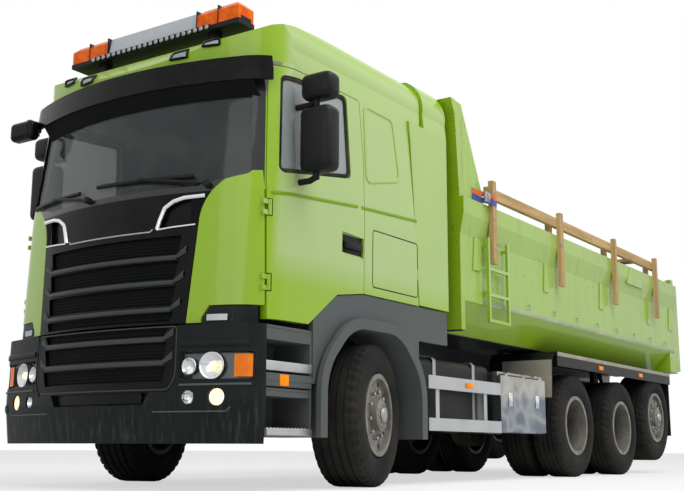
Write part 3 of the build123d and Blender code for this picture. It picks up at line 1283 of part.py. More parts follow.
# Side ribs: distance behind the front axle, half width at the bottom
RIB_ROWS = [(-1620.0, 70.0), (-3130.0, 60.0), (-4660.0, 60.0), (-6300.0, 60.0), (-7180.0, 80.0)]
RIB_OUT = 12.0
RIB_LOW_Z = 1800.0
STIFFENER = [(-5440.0, 2195.0), (-6020.0, 2195.0), (-5900.0, 2390.0), (-5560.0, 2390.0)]
GATE_HINGE_X = BED_REAR_X + 55
GATE_HINGE_Z = BED_TOP_Z + 48
GATE_PIN_R = 18.0
with BuildPart() as housing:
    add(hoist_room(HOUSING_WALL))
    add(block(BED_FRONT_X - 900, BED_FRONT_X - HEADBOARD_T / 2, -400, 400, BED_BOTTOM_Z + 5,
              BED_TOP_Z + 500), mode=Mode.INTERSECT)
with BuildPart() as bed_tub:
    add(prism_x(outer_section, BED_REAR_X, BED_FRONT_X))
    add(block(BED_REAR_X, BED_REAR_X + POST_L, -BED_HALF_W, BED_HALF_W, BED_BOTTOM_Z, BED_TOP_Z))
    add(prism_x(inner_section, BED_REAR_X, BED_FRONT_X - HEADBOARD_T), mode=Mode.SUBTRACT)
    add(prism_y(headboard, -BED_HALF_W, BED_HALF_W))
    add(housing.part)
    add(hoist_room(0), mode=Mode.SUBTRACT)
    for low_y, high_y in ((BED_HALF_W - 5, BED_HALF_W + RIB_OUT), (-BED_HALF_W - RIB_OUT, 5 - BED_HALF_W)):
        for s, half in RIB_ROWS:
            rib_top = BED_TOP_Z - 320
            add(prism_y([(ahead(s - half), RIB_LOW_Z), (ahead(s + half), RIB_LOW_Z),
                         (ahead(s + half / 2), rib_top), (ahead(s - half / 2), rib_top)], low_y, high_y))
    rail_out_y = BED_HALF_W + RAIL_OUT
    for low_y, high_y in ((rail_out_y - 5, rail_out_y + 8), (-rail_out_y - 8, 5 - rail_out_y)):
        add(prism_y([(ahead(s), z) for s, z in STIFFENER], low_y, high_y))
    for low_y, high_y in ((inner_y, BED_HALF_W), (-BED_HALF_W, -inner_y)):
        add(prism_y(gusset, low_y, high_y))
    for low_y, high_y in ((300, 380), (-380, -300)):
        add(block(PIVOT_X + 110, BED_FRONT_X - 60, low_y, high_y, RUNNER_LOW_Z, BED_BOTTOM_Z + 5))
    for low_y, high_y in ((395, 450), (-450, -395)):
        add(prism_y(lug, low_y, high_y))
    add(rod_y(PIVOT_X, PIVOT_Z, PIVOT_R + FIT, -600, 600), mode=Mode.SUBTRACT)
    for low_y, high_y in ((CHEEK_IN_Y, CHEEK_IN_Y + 22), (-CHEEK_IN_Y - 22, -CHEEK_IN_Y)):
        add(prism_y(cheek, low_y, high_y))
    for sign in (1, -1):
        low_y, high_y = sorted((sign * 1225, sign * 1255))
        add(block(GATE_HINGE_X - 40, GATE_HINGE_X + 60, low_y, high_y, BED_TOP_Z - 5, GATE_HINGE_Z + 32))
        low_y, high_y = sorted((sign * 1170, sign * 1230))
        add(rod_y(GATE_HINGE_X, GATE_HINGE_Z, GATE_PIN_R, low_y, high_y))
save(bed_tub.part, "bed_tub")

with BuildPart() as tailgate:
    add(block(TAIL_X + 40, TAIL_X + GATE_T, -1245, 1245, BED_BOTTOM_Z + 35, BED_TOP_Z - 10))
    add(block(TAIL_X, TAIL_X + 45, -1245, 1245, BED_TOP_Z - 160, BED_TOP_Z - 10))
    add(block(TAIL_X, TAIL_X + 45, -1245, 1245, BED_BOTTOM_Z + 35, BED_BOTTOM_Z + 175))
    for y in (-1185, -395, 395, 1185):
        add(block(TAIL_X, TAIL_X + 45, y - 60, y + 60, BED_BOTTOM_Z + 35, BED_TOP_Z - 10))
    arm = [
        (TAIL_X + 20, BED_TOP_Z - 60),
        (TAIL_X + 20, BED_TOP_Z + 20),
        (GATE_HINGE_X - 30, GATE_HINGE_Z + 34),
        (GATE_HINGE_X + 30, GATE_HINGE_Z + 34),
        (GATE_HINGE_X + 38, GATE_HINGE_Z),
        (GATE_HINGE_X, GATE_HINGE_Z - 34),
        (TAIL_X + GATE_T, BED_TOP_Z + 10),
        (TAIL_X + GATE_T, BED_TOP_Z - 60),
    ]
    for low_y, high_y in ((1175, 1215), (-1215, -1175)):
        add(prism_y(arm, low_y, high_y))
    add(rod_y(GATE_HINGE_X, GATE_HINGE_Z, GATE_PIN_R + FIT, -1300, 1300), mode=Mode.SUBTRACT)
save(tailgate.part, "tailgate")

# Ladder on the left side and the timber rails along the top
with BuildPart() as bed_ladder:
    for s in (-1760, -2150):
        add(block(ahead(s - 16), ahead(s + 16), BED_HALF_W + 40, BED_HALF_W + 66, 1360, 2110))
        for z in (1620, 2040):
            add(block(ahead(s - 12), ahead(s + 12), BED_HALF_W + FIT, BED_HALF_W + 50, z - 14, z + 14))
    for z in (1375, 1605, 1835):
        add(block(ahead(-2150), ahead(-1760), BED_HALF_W + 41, BED_HALF_W + 65, z - 14, z + 14))
save(bed_ladder.part, "bed_ladder")

POST_ROWS = (-1850.0, -3405.0, -4985.0, -6460.0)
RAIL_Y = BED_HALF_W + RAIL_OUT + FIT
with BuildPart() as left_rails:
    for s in POST_ROWS:
        add(block(ahead(s - 36), ahead(s + 36), RAIL_Y, RAIL_Y + 46, 1885, 2640))
    for s in POST_ROWS[1:]:
        add(block(ahead(s + 44), ahead(s + 116), RAIL_Y - 92, RAIL_Y - 44, BED_TOP_Z, 2590))
    add(block(ahead(-6560), BED_FRONT_X - 475, RAIL_Y - 45, RAIL_Y + 1, 2495, 2590))
with BuildPart() as timber_rails:
    add(left_rails.part)
    add(other_side(left_rails.part))
    add(block(ahead(-5900), ahead(-5700), -RAIL_Y + 44, RAIL_Y - 44, 2500, 2535))
save(timber_rails.part, "timber_rails")

# Telescopic hoist between the cab and the headboard
lean = atan2(HOIST_FOOT_X - HOIST_EYE_X, HOIST_EYE_Z - HOIST_FOOT_Z)
hoist_length = sqrt((HOIST_FOOT_X - HOIST_EYE_X)**2 + (HOIST_EYE_Z - HOIST_FOOT_Z)**2)
hoist_plane = Plane((HOIST_FOOT_X, 0, HOIST_FOOT_Z), x_dir=(0, 1, 0), z_dir=(-sin(lean), 0, cos(lean)))
BARREL_OUT_R = 98.0
TUBE_T = 8.0
TUBE_STEP = 14.0


def tube(outer_r, inner_r, low, high):
    """Return a tube along the hoist, between two distances from its foot."""
    with BuildPart() as made:
        with BuildSketch(hoist_plane.offset(low)):
            Circle(outer_r)
            Circle(inner_r, mode=Mode.SUBTRACT)
        extrude(amount=high - low)
    return made.part


with BuildPart() as hoist_barrel:
    add(tube(BARREL_OUT_R, BARREL_OUT_R - TUBE_T, 60, hoist_length - 170))
    with BuildSketch(hoist_plane.offset(20)):
        Circle(BARREL_OUT_R)
    extrude(amount=42)
    add(rod_y(HOIST_FOOT_X, HOIST_FOOT_Z, 62, -foot_half + 38, foot_half - 38))
    add(rod_y(HOIST_FOOT_X, HOIST_FOOT_Z, 28 + FIT, -foot_half, foot_half), mode=Mode.SUBTRACT)
save(hoist_barrel.part, "hoist_barrel")
for stage in range(1, HOIST_STAGES + 1):
    stage_r = BARREL_OUT_R - TUBE_T - FIT - (stage - 1) * (TUBE_T + FIT)
    with BuildPart() as hoist_stage:
        if stage < HOIST_STAGES:
            add(tube(stage_r, stage_r - TUBE_T, 70, hoist_length - 165 + stage * TUBE_STEP))
        else:
            with BuildSketch(hoist_plane.offset(70)):
                Circle(stage_r)
            extrude(amount=hoist_length - 130)
            add(rod_y(HOIST_EYE_X, HOIST_EYE_Z, 62, -CHEEK_IN_Y + 5, CHEEK_IN_Y - 5))
    save(hoist_stage.part, f"hoist_stage_{stage}")

# Mirrors carried on the doors


def mirror_housing(rear, front, low, high):
    """Return one housing, rounded towards the front."""
    with BuildPart() as made:
        add(block(ahead(rear), ahead(front), 1290, 1500, low, high))
        fillet(made.edges().group_by(Axis.X)[-1], 45)
    return made.part


with BuildPart() as left_mirror:
    add(mirror_housing(860, 1000, 2100, 2550))
    add(mirror_housing(850, 990, 2615, 2815))
    add(block(ahead(900), ahead(940), 1330, 1370, 2540, 2625))
    for z in (2045.0, 2580.0):
        add(block(ahead(890), ahead(950), 1100, 1370, z - 22, z + 22))
    add(block(ahead(890), ahead(950), 1330, 1370, 2045 - 22, 2110))
    add(cab_loft(-FIT), mode=Mode.SUBTRACT)
save(left_mirror.part, "left_mirror")
with BuildPart() as right_mirror:
    add(other_side(left_mirror.part))
save(right_mirror.part, "right_mirror")
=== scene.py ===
# %% [markdown]
# # A tipper truck, dressed for its portrait
# The solid model of the truck arrives as a fixed frame: every panel already sits
# where it belongs, in metres, with X forward, Y to the left and Z up. This lesson
# only adds what a camera would notice: paint, glass, lamps, tread and timber grain.

# %% Load the packed truck
import json
import math

import bmesh
import bpy
from mathutils import Matrix, Vector
from mathutils.bvhtree import BVHTree


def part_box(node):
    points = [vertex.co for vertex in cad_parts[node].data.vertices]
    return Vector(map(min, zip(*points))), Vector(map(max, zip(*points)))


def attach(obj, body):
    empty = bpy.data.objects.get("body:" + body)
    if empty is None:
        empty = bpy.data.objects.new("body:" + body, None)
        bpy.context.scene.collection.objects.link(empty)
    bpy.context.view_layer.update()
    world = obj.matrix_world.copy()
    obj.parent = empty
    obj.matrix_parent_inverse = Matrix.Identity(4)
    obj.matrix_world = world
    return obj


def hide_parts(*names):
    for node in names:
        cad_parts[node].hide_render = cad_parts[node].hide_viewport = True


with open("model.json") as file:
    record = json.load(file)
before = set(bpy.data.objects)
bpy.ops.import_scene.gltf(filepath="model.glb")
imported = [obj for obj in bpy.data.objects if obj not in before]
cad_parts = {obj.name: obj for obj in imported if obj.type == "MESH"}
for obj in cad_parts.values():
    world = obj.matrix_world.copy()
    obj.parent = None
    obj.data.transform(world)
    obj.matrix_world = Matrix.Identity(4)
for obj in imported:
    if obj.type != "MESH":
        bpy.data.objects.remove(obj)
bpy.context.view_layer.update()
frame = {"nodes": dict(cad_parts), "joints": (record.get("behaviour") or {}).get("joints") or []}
joints = {joint["name"]: joint for joint in frame["joints"]}
FRONT_AXLE = 3.0
SIDES = (("left", 1), ("right", -1))
print("nodes:", len(frame["nodes"]), "joints:", len(joints))

# %% [markdown]
# ## Camera
# The picture was taken low beside the front corner, about knee height, tilted up.
# A camera can be aimed by a target object, or its axes can be built directly from
# the heading and the pitch; the second way needs no constraint and is exact.

# %% Camera at the picture's place
PICTURE_W, PICTURE_H = 684, 491
CENTRE_X, CENTRE_Y = 338.33, 248.06  # where the lens's axis meets the picture, in pixels
FOCAL_PIXELS = 1039.66
SENSOR_MM = 36
STAND_X, STAND_Y, STAND_Z = FRONT_AXLE + 6.427, 5.291, 0.273
heading, pitch, roll = (math.radians(angle) for angle in (34.31, 10.92, 0.24))
look = Vector((-math.cos(heading) * math.cos(pitch), -math.sin(heading) * math.cos(pitch),
               math.sin(pitch)))
level = look.cross(Vector((0, 0, 1))).normalized()
upright = level.cross(look)
right = math.cos(roll) * level + math.sin(roll) * upright
upward = right.cross(look)
camera_data = bpy.data.cameras.new("picture_camera")
camera = bpy.data.objects.new("picture_camera", camera_data)
bpy.context.collection.objects.link(camera)
camera.matrix_world = Matrix((
    (right.x, upward.x, -look.x, STAND_X),
    (right.y, upward.y, -look.y, STAND_Y),
    (right.z, upward.z, -look.z, STAND_Z),
    (0, 0, 0, 1),
))
camera_data.sensor_width = SENSOR_MM
camera_data.lens = SENSOR_MM * FOCAL_PIXELS / PICTURE_W
camera_data.shift_x = (PICTURE_W / 2 - CENTRE_X) / PICTURE_W
camera_data.shift_y = (CENTRE_Y - PICTURE_H / 2) / PICTURE_W
camera_data.clip_end = 400
bpy.context.scene.camera = camera
print("lens:", round(camera_data.lens, 2), "mm")

# %% [markdown]
# ## Shader words
# A material is a graph of nodes, but a graph is hard to read as code. Here a socket is
# wrapped in a small class whose operators add Math nodes, so that a mask can be written
# as a sum. One method makes any other node from its type, settings and socket values.


# %% Wrap sockets so that shader maths reads as sums
class Tone:
    """One output socket; the operators on it add Math nodes."""

    def __init__(self, graph, socket):
        self.graph = graph
        self.socket = socket

    def maths(self, operation, first, second=0.0):
        return self.graph.node("ShaderNodeMath", {"operation": operation}, {0: first, 1: second})

    def __add__(self, other):
        return self.maths("ADD", self, other)

    def __radd__(self, other):
        return self.maths("ADD", other, self)

    def __sub__(self, other):
        return self.maths("SUBTRACT", self, other)

    def __rsub__(self, other):
        return self.maths("SUBTRACT", other, self)

    def __mul__(self, other):
        return self.maths("MULTIPLY", self, other)

    def __rmul__(self, other):
        return self.maths("MULTIPLY", other, self)

    def __gt__(self, other):
        return self.maths("GREATER_THAN", self, other)

    def __lt__(self, other):
        return self.maths("LESS_THAN", self, other)

    def __abs__(self):
        return self.maths("ABSOLUTE", self)

    def wave(self):
        return self.maths("SINE", self)


class Graph:
    """A tree of shader nodes and the one way to add a node to it."""

    def __init__(self, tree):
        self.tree = tree

    def node(self, kind, settings=None, values=None, output=0):
        made = self.tree.nodes.new(kind)
        for key, value in (settings or {}).items():
            setattr(made, key, value)
        for key, value in (values or {}).items():
            self.feed(made.inputs[key], value)
        return Tone(self, made.outputs[output])

    def feed(self, socket, value):
        if isinstance(value, Tone):
            self.tree.links.new(value.socket, socket)
        else:
            socket.default_value = value


print("operators:", [name for name in vars(Tone) if name.startswith("__") and name != "__init__"])

# %% [markdown]
# ## Finishes
# Every material here is one Principled shader with a few things fed into it. A second
# class gives short names to what is fed most: noise, a mask between two values, a mix of
# two colours and a bump. Coordinates are the object's own, so nothing slides.


# %% A material and short ways to feed it
class Finish(Graph):
    """A material with one Principled shader."""

    SOCKETS = {
        "color": "Base Color", "rough": "Roughness", "metal": "Metallic", "coat": "Coat Weight",
        "coat_rough": "Coat Roughness", "alpha": "Alpha", "glow": "Emission Color",
        "glow_strength": "Emission Strength", "normal": "Normal",
        "specular": "Specular IOR Level", "sheen": "Sheen Weight",
    }

    def __init__(self, name):
        self.material = bpy.data.materials.new(name)
        self.material.use_nodes = True
        super().__init__(self.material.node_tree)
        self.shader = self.tree.nodes["Principled BSDF"]

    def place(self):
        return self.node("ShaderNodeTexCoord", output="Object")

    def split(self, vector):
        return [self.node("ShaderNodeSeparateXYZ", values={0: vector}, output=axis)
                for axis in "XYZ"]

    def axes(self):
        return self.split(self.place())

    def facing(self):
        return self.split(self.node("ShaderNodeTexCoord", output="Normal"))

    def speckle(self, scale, detail=4.0, stretch=(1, 1, 1)):
        """Return noise: cells a metre, levels of finer detail, and a stretch of its space."""
        spot = self.node("ShaderNodeVectorMath", {"operation": "MULTIPLY"},
                         {0: self.place(), 1: stretch})
        values = {"Vector": spot, "Scale": scale, "Detail": detail, "Roughness": 0.6}
        return self.node("ShaderNodeTexNoise", values=values)

    def span(self, tone, low, high):
        """Return 0 at low and 1 at high, held flat outside them."""
        values = {"Value": tone, "From Min": low, "From Max": high}
        return self.node("ShaderNodeMapRange", values=values)

    def mix(self, share, first, second):
        values = {0: share, 6: first, 7: second}
        return self.node("ShaderNodeMix", {"data_type": "RGBA"}, values, output=2)

    def bump(self, height, strength, distance):
        values = {"Strength": strength, "Distance": distance, "Height": height}
        return self.node("ShaderNodeBump", values=values)

    def surface(self, **values):
        for key, value in values.items():
            self.feed(self.shader.inputs[self.SOCKETS[key]], value)
        return self


def linear(red, green, blue):
    """Turn a screen colour, 0 to 255 a channel, into the values that a shader takes."""
    shares = [value / 255 for value in (red, green, blue)]
    return tuple(s / 12.92 if s < 0.0405 else ((s + 0.055) / 1.055) ** 2.4 for s in shares) + (1,)


def darker(color, share):
    """Return a colour with a share of its light left."""
    return tuple(channel * share for channel in color[:3]) + (1,)


DUST = linear(150, 138, 118)
MUD = linear(96, 84, 68)
LIME = linear(140, 178, 2)
# Pale colour mixed into upright sides: a painted reflection of the sky.
PALE_SKY_SHEEN = linear(206, 210, 192)
BLACK = linear(20, 21, 23)
CHARCOAL = linear(46, 48, 51)
print("lime, linear:", [round(channel, 3) for channel in LIME])

# %% [markdown]
# ## Light
# Soft daylight suits a painted truck: a pale world, one broad lamp for the sky and a
# weaker one from the front. The background that the camera and the reflections see is
# plain white, picked by the ray's kind, so that it adds no light to the truck itself.

# %% World and lamps
scene = bpy.context.scene
scene.view_settings.view_transform = "Standard"
world = bpy.data.worlds.new("soft_daylight")
scene.world = world
world.use_nodes = True
sky = Graph(world.node_tree)
daylight = sky.tree.nodes["Background"]
daylight.inputs["Color"].default_value = (0.86, 0.90, 0.94, 1)
daylight.inputs["Strength"].default_value = 0.5
backdrop = sky.node("ShaderNodeBackground", values={"Color": (1, 1, 1, 1)})
to_camera, to_gloss, to_glass = (
    sky.node("ShaderNodeLightPath", output=kind)
    for kind in ("Is Camera Ray", "Is Glossy Ray", "Is Transmission Ray"))
mirrored = to_gloss.maths("MAXIMUM", to_gloss, to_glass)
seen = to_camera.maths("MAXIMUM", to_camera, mirrored)
choice = sky.node("ShaderNodeMixShader",
                  values={0: seen, 1: Tone(sky, daylight.outputs[0]), 2: backdrop})
sky.feed(sky.tree.nodes["World Output"].inputs["Surface"], choice)


def area_lamp(name, place, target, size, watts):
    """Add a square lamp that faces a target point."""
    data = bpy.data.lights.new(name, "AREA")
    data.size = size
    data.energy = watts
    lamp = bpy.data.objects.new(name, data)
    lamp.location = place
    lamp.rotation_euler = (Vector(target) - Vector(place)).to_track_quat("-Z", "Y").to_euler()
    bpy.context.collection.objects.link(lamp)


area_lamp("sky_lamp", (2, 7, 11), (0, 0, 1), 9, 1050)
area_lamp("front_lamp", (13, 3, 5), (3, 0, 1.6), 6, 170)

# %% [markdown]
# ## Floor
# The truck stands on a plain pale floor that runs out of sight. A floor lit by lamps
# turns grey away from them, so for the camera a share of plain white is mixed in. The
# rest of it stays a matt surface, which keeps the truck's shadow.

# %% Pale floor, whitened for the camera
FLOOR_HALF = 80
FLOOR_WHITE = 0.6
floor_corners = [(x * FLOOR_HALF, y * FLOOR_HALF, 0)
                 for x, y in ((-1, -1), (1, -1), (1, 1), (-1, 1))]
floor_mesh = bpy.data.meshes.new("floor")
floor_mesh.from_pydata(floor_corners, [], [(0, 1, 2, 3)])
floor = bpy.data.objects.new("floor", floor_mesh)
bpy.context.collection.objects.link(floor)
pale_floor = Finish("pale_floor")
pale_floor.surface(color=linear(240, 240, 238), rough=0.9)
floor_mesh.materials.append(pale_floor.material)
to_camera = pale_floor.node("ShaderNodeLightPath", output="Is Camera Ray")
matt = Tone(pale_floor, pale_floor.shader.outputs[0])
white = pale_floor.node("ShaderNodeEmission")
floor_mix = pale_floor.node("ShaderNodeMixShader",
                            values={0: to_camera * FLOOR_WHITE, 1: matt, 2: white})
pale_floor.feed(pale_floor.tree.nodes["Material Output"].inputs["Surface"], floor_mix)
print("floor:", 2 * FLOOR_HALF, "m square")

# %% [markdown]
# ## Painted panels
# Truck paint is a flat colour under a clear coat. What makes it look real is the faint
# ripple of sprayed lacquer and the road film that thickens towards the ground; sides that
# stand upright also get a pale painted reflection of the sky in their colour. These come
# from noise, height and facing in the panel's own coordinates, so they stay put when a door swings.

# %% Lime lacquer, with the film of the road and a painted sky sheen
FILM_LOW_Z, FILM_HIGH_Z = 0.5, 1.9
# Heights over which the painted sky reflection on upright sides fades in.
SKY_SHEEN_LOW_Z, SKY_SHEEN_HIGH_Z = 1.34, 1.56
DOOR_TRIM = linear(70, 70, 72)
CAB_LINING = linear(112, 112, 112)
ROOF_LINING = linear(150, 150, 148)
SCREEN_RAKE = 0.0763
SCREEN_X = 4.205 + 2.0 * SCREEN_RAKE + 0.005  # the screen's plane at ground height
CAB_INNER_Y = 1.152
CAB_INNER_X = (2.225, 4.16)
CAB_FLOOR_Z = 1.40
CAB_FOOT_Z = 1.335


def lime_paint(name, film, sky_sheen):
    """Return a lacquer finish and its colour, from its dust and its painted sky sheen."""
    finish = Finish(name)
    height = finish.axes()[2]
    drift = finish.speckle(2.2, 6)
    grit = finish.speckle(60, 3)
    low = finish.span(height, FILM_HIGH_Z, FILM_LOW_Z)
    dust = finish.span(drift * 0.7 + grit * 0.3, 0.4, 0.72) * (low * 0.2 + film)
    # Upright sides, above about 1.4 m, take a pale painted reflection of the sky.
    upright = finish.span(abs(finish.facing()[1]), 0.89, 0.96)
    upright = upright * finish.span(height, SKY_SHEEN_LOW_Z, SKY_SHEEN_HIGH_Z)
    color = finish.mix(upright * sky_sheen, LIME, PALE_SKY_SHEEN)
    color = finish.mix(dust, color, DUST)
    ripple = finish.bump(finish.speckle(140, 2), 0.03, 0.002)
    finish.surface(rough=0.32 + dust * 0.5, coat=0.45 - dust * 0.4, coat_rough=0.05,
                   specular=0.3, normal=ripple)
    return finish, color


def panel_paint():
    """Return the plain lacquer of the cab's outer panels."""
    finish, color = lime_paint("lime_lacquer", 0.04, 0.26)
    return finish.surface(color=color)


def door_paint():
    """Return lacquer outside and dark trim on the side that faces the driver."""
    finish, color = lime_paint("door_lacquer", 0.06, 0.34)
    out_y = finish.facing()[1]
    y = finish.axes()[1]
    inner = (out_y * y) < -0.25
    return finish.surface(color=finish.mix(inner, color, DOOR_TRIM))


def cab_paint():
    """Return lacquer with the black screen surround, the lining and the dark underside."""
    finish, color = lime_paint("cab_lacquer", 0.06, 0.34)
    x, y, z = finish.axes()
    front = (x + z * SCREEN_RAKE) > SCREEN_X
    back_x, front_x = CAB_INNER_X
    inside = (abs(y) < CAB_INNER_Y) * (x > back_x) * (x < front_x) * (z > CAB_FLOOR_Z)
    under = z < CAB_FOOT_Z
    color = finish.mix(front, color, BLACK)
    color = finish.mix(inside, color, CAB_LINING)
    return finish.surface(color=finish.mix(under, color, CHARCOAL))


def roof_paint():
    """Return lacquer above and a pale lining on the faces that look down."""
    finish, color = lime_paint("roof_lacquer", 0.04, 0.3)
    lining = finish.facing()[2] < -0.3
    return finish.surface(color=finish.mix(lining, color, ROOF_LINING))


panel = panel_paint()
door = door_paint()
cab = cab_paint()
roof = roof_paint()
print("lacquers:", [finish.material.name for finish in (panel, door, cab, roof)])

# %% [markdown]
# ## The tipping body's paint
# The same lacquer on the bed has a harder life: chips, rust specks, dribbles of mud
# from the rail and a floor scoured to bare steel. Streaks are noise squeezed sideways
# and stretched down the wall; chips are the peaks of a fine noise.

# %% Worked lacquer on the bed and the gate
RUST = linear(70, 52, 36)
SCOURED = (linear(122, 112, 100), linear(74, 66, 58))
BED_INNER_Y = 1.245
BED_RIM_Z = 2.44
BED_FLOOR_Z = 1.36
BED_UNDER_Z = 1.262
DRAWN_DOWN = (1, 1, 0.12)


def bed_paint():
    """Return lacquer with chips, streaks and a bare inside."""
    finish, color = lime_paint("bed_lacquer", 0.12, 0.16)
    x, y, z = finish.axes()
    streaks = finish.span(finish.speckle(9, 5, DRAWN_DOWN), 0.52, 0.75)
    runs = streaks * finish.span(z, 1.3, 2.5) * 0.35
    chips = finish.span(finish.speckle(46, 3), 0.63, 0.66)
    patch = finish.span(finish.speckle(2.8, 4), 0.45, 0.62)
    color = finish.mix(runs, color, MUD)
    color = finish.mix(chips * patch * 0.8, color, RUST)
    scour = finish.mix(finish.speckle(7, 6, (0.3, 1, 1)), *SCOURED)
    face_x, face_y, face_z = finish.facing()
    walls = (face_y * y) < -0.05
    bottom = (face_z > 0.7) * (z < BED_FLOOR_Z)
    front = (face_x < -0.7) * (x > 1.0)
    bare = finish.span(walls + bottom + front, 0, 1)
    color = finish.mix(bare * (abs(y) < BED_INNER_Y) * (z < BED_RIM_Z), color, scour)
    color = finish.mix(z < BED_UNDER_Z, color, CHARCOAL)
    return finish.surface(color=color, rough=0.45 + runs * 0.4)


bed_finish = bed_paint()
print("bed:", bed_finish.material.name)

# %% [markdown]
# ## Plastics, rubber and the frame
# The arches, bumper and steps are grained plastic moulded in colour; the grille and
# visor are gloss black; the frame is brushed with chassis paint. They share one recipe:
# a base colour, dust that settles by noise, and a grain in the bump.


# %% Dark finishes
def grained(name, color, rough, grain, film, shade=0.25):
    """Return a matt moulded finish with fine grain, cloudy shade and dust."""
    finish = Finish(name)
    height = finish.axes()[2]
    cloud = finish.speckle(3.5, 6)
    scuff = finish.span(finish.speckle(30, 5, (1, 1, 3)), 0.6, 0.75)
    low = finish.span(height, 1.5, 0.3)
    dust = finish.span(cloud, 0.35, 0.75) * (film + low * film)
    base = finish.mix(finish.span(cloud, 0.3, 0.7), color, darker(color, 1 - shade))
    base = finish.mix(dust + scuff * film * 0.3, base, DUST)
    pimples = finish.bump(finish.speckle(grain, 3), 0.25, 0.002)
    return finish.surface(color=base, rough=rough + dust * 0.3, specular=0.14, normal=pimples)


def gloss_black():
    """Return black lacquer with a thin film of dust."""
    finish = Finish("gloss_black")
    cloud = finish.span(finish.speckle(6, 6), 0.4, 0.8)
    color = finish.mix(cloud * 0.02, linear(7, 9, 9), DUST)
    return finish.surface(color=color, rough=0.18 + cloud * 0.2, specular=0.12)


def bumper_moulding():
    """Return dark plastic, scuffed up and down along its foot."""
    finish = grained("bumper_plastic", linear(24, 28, 28), 0.42, 420, 0.04)
    foot = finish.span(finish.axes()[2], 0.66, 0.42)
    scuff = finish.span(finish.speckle(34, 5, DRAWN_DOWN), 0.52, 0.74) * foot
    cloud = finish.span(finish.speckle(5, 5), 0.3, 0.7)
    base = finish.mix(cloud, linear(25, 29, 29), linear(17, 21, 21))
    return finish.surface(color=finish.mix(scuff * 0.3, base, linear(96, 104, 106)))


BAR_MIDDLE_Y = 0.4515


def light_bar_plastic():
    """Return dark plastic with a pale grey middle between the lenses."""
    finish = grained("light_bar_plastic", linear(30, 31, 33), 0.42, 500, 0.05)
    y, z = finish.axes()[1:]
    middle = (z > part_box("beacon_lenses")[0].z + 0.001) * (abs(y) < BAR_MIDDLE_Y)
    pale = finish.mix(finish.speckle(8, 4), linear(205, 208, 210), linear(182, 186, 190))
    return finish.surface(color=finish.mix(middle, linear(26, 27, 29), pale))


# Each finish: name, colour, roughness, grain a metre, dust
bumper_plastic = bumper_moulding()
galvanised = grained("galvanised", linear(170, 164, 150), 0.55, 300, 0.10)
# Darker, fuller lime without the sky sheen: painted shade for the line of the cab creases.
lime_crease_shade = grained("lime_crease_shade", linear(124, 164, 6), 0.35, 300, 0.02)
# Pale grey-green for the strip along the bed's ridge.
pale_ridge = grained("pale_ridge", linear(176, 186, 150), 0.5, 300, 0.10)
blade_grey = grained("blade_grey", linear(66, 70, 71), 0.32, 500, 0.04)
arch_plastic = grained("arch_plastic", linear(86, 92, 93), 0.45, 420, 0.10)
dark_plastic = grained("dark_plastic", linear(20, 23, 23), 0.42, 500, 0.04)
frame_paint = grained("frame_paint", linear(34, 35, 36), 0.6, 120, 0.18)
cast_iron = grained("cast_iron", linear(48, 46, 43), 0.65, 220, 0.22)
rubber = grained("rubber", linear(26, 26, 26), 0.75, 300, 0.25)
tyre_rubber = grained("tyre_rubber", linear(24, 26, 26), 0.78, 160, 0.05)
interior_plastic = grained("interior_plastic", linear(72, 72, 74), 0.6, 500, 0.05)
mesh_black = grained("mesh_black", linear(6, 8, 8), 0.8, 300, 0.01)
black_gloss = gloss_black()
bar_plastic = light_bar_plastic()
print("dark finishes:", bumper_plastic.material.name, "to", bar_plastic.material.name)

# %% [markdown]
# ## Metals
# Stainless on the toolbox is polished sheet whose broad, bent reflections are partly in
# its colour, so that they stay when the light changes; the guards and treads are drawn
# aluminium with fine lines along X; the rims are silver paint under brake dust, with
# painted shade darkening the inside of the dish.


# %% Bright finishes
def metal(name, color, rough, lines, wave, film):
    """Return a metal; lines stretches its brush marks along X and wave bends reflections."""
    finish = Finish(name)
    brush = finish.speckle(lines, 3, (0.03, 1, 1))
    cloud = finish.span(finish.speckle(4, 5), 0.4, 0.75)
    grime = cloud * film
    height = brush * 0.2 + finish.speckle(5, 2) * wave
    return finish.surface(color=finish.mix(grime, color, MUD), metal=1 - grime,
                          rough=rough + brush * 0.15 + grime * 0.4,
                          normal=finish.bump(height, 0.15, 0.004))


def rim_paint():
    """Return silver wheel paint with brown brake dust, and painted shade that darkens it further
    into the wheel.
    """
    finish = Finish("rim_paint")
    cloud = finish.span(finish.speckle(9, 6), 0.35, 0.7)
    color = finish.mix(cloud * 0.55, linear(138, 134, 126), linear(74, 62, 50))
    # Painted shade: the colour darkens with depth into the wheel's dish.
    depth_shade = finish.span(abs(finish.axes()[1]), 1.17, 0.99)
    color = finish.mix(depth_shade * 0.8, color, linear(46, 40, 34))
    grit = finish.bump(finish.speckle(150, 3), 0.15, 0.002)
    return finish.surface(color=color, rough=0.42 + cloud * 0.3, metal=0.35, normal=grit)


def polished_steel():
    """Return polished sheet with painted reflections: bluer and duller towards its foot, with pale
    swirls.
    """
    finish = Finish("stainless")
    drift = finish.speckle(4.5, 3)
    # Painted reflections: a bluish lower band, a pale upper band and pale swirls of glint, all in
    # the colour.
    swirl_glint = finish.span(abs(finish.speckle(3, 1) - 0.5), 0.09, 0.0)
    sky_reflection = finish.span(finish.axes()[2] + drift * 0.5, 0.93, 1.06)
    color = finish.mix(sky_reflection, linear(92, 104, 120), linear(158, 157, 150))
    color = finish.mix(swirl_glint * 0.4, color, linear(200, 199, 190))
    return finish.surface(color=color, metal=0.9, rough=0.10 + drift * 0.12,
                          normal=finish.bump(drift, 0.06, 0.004))


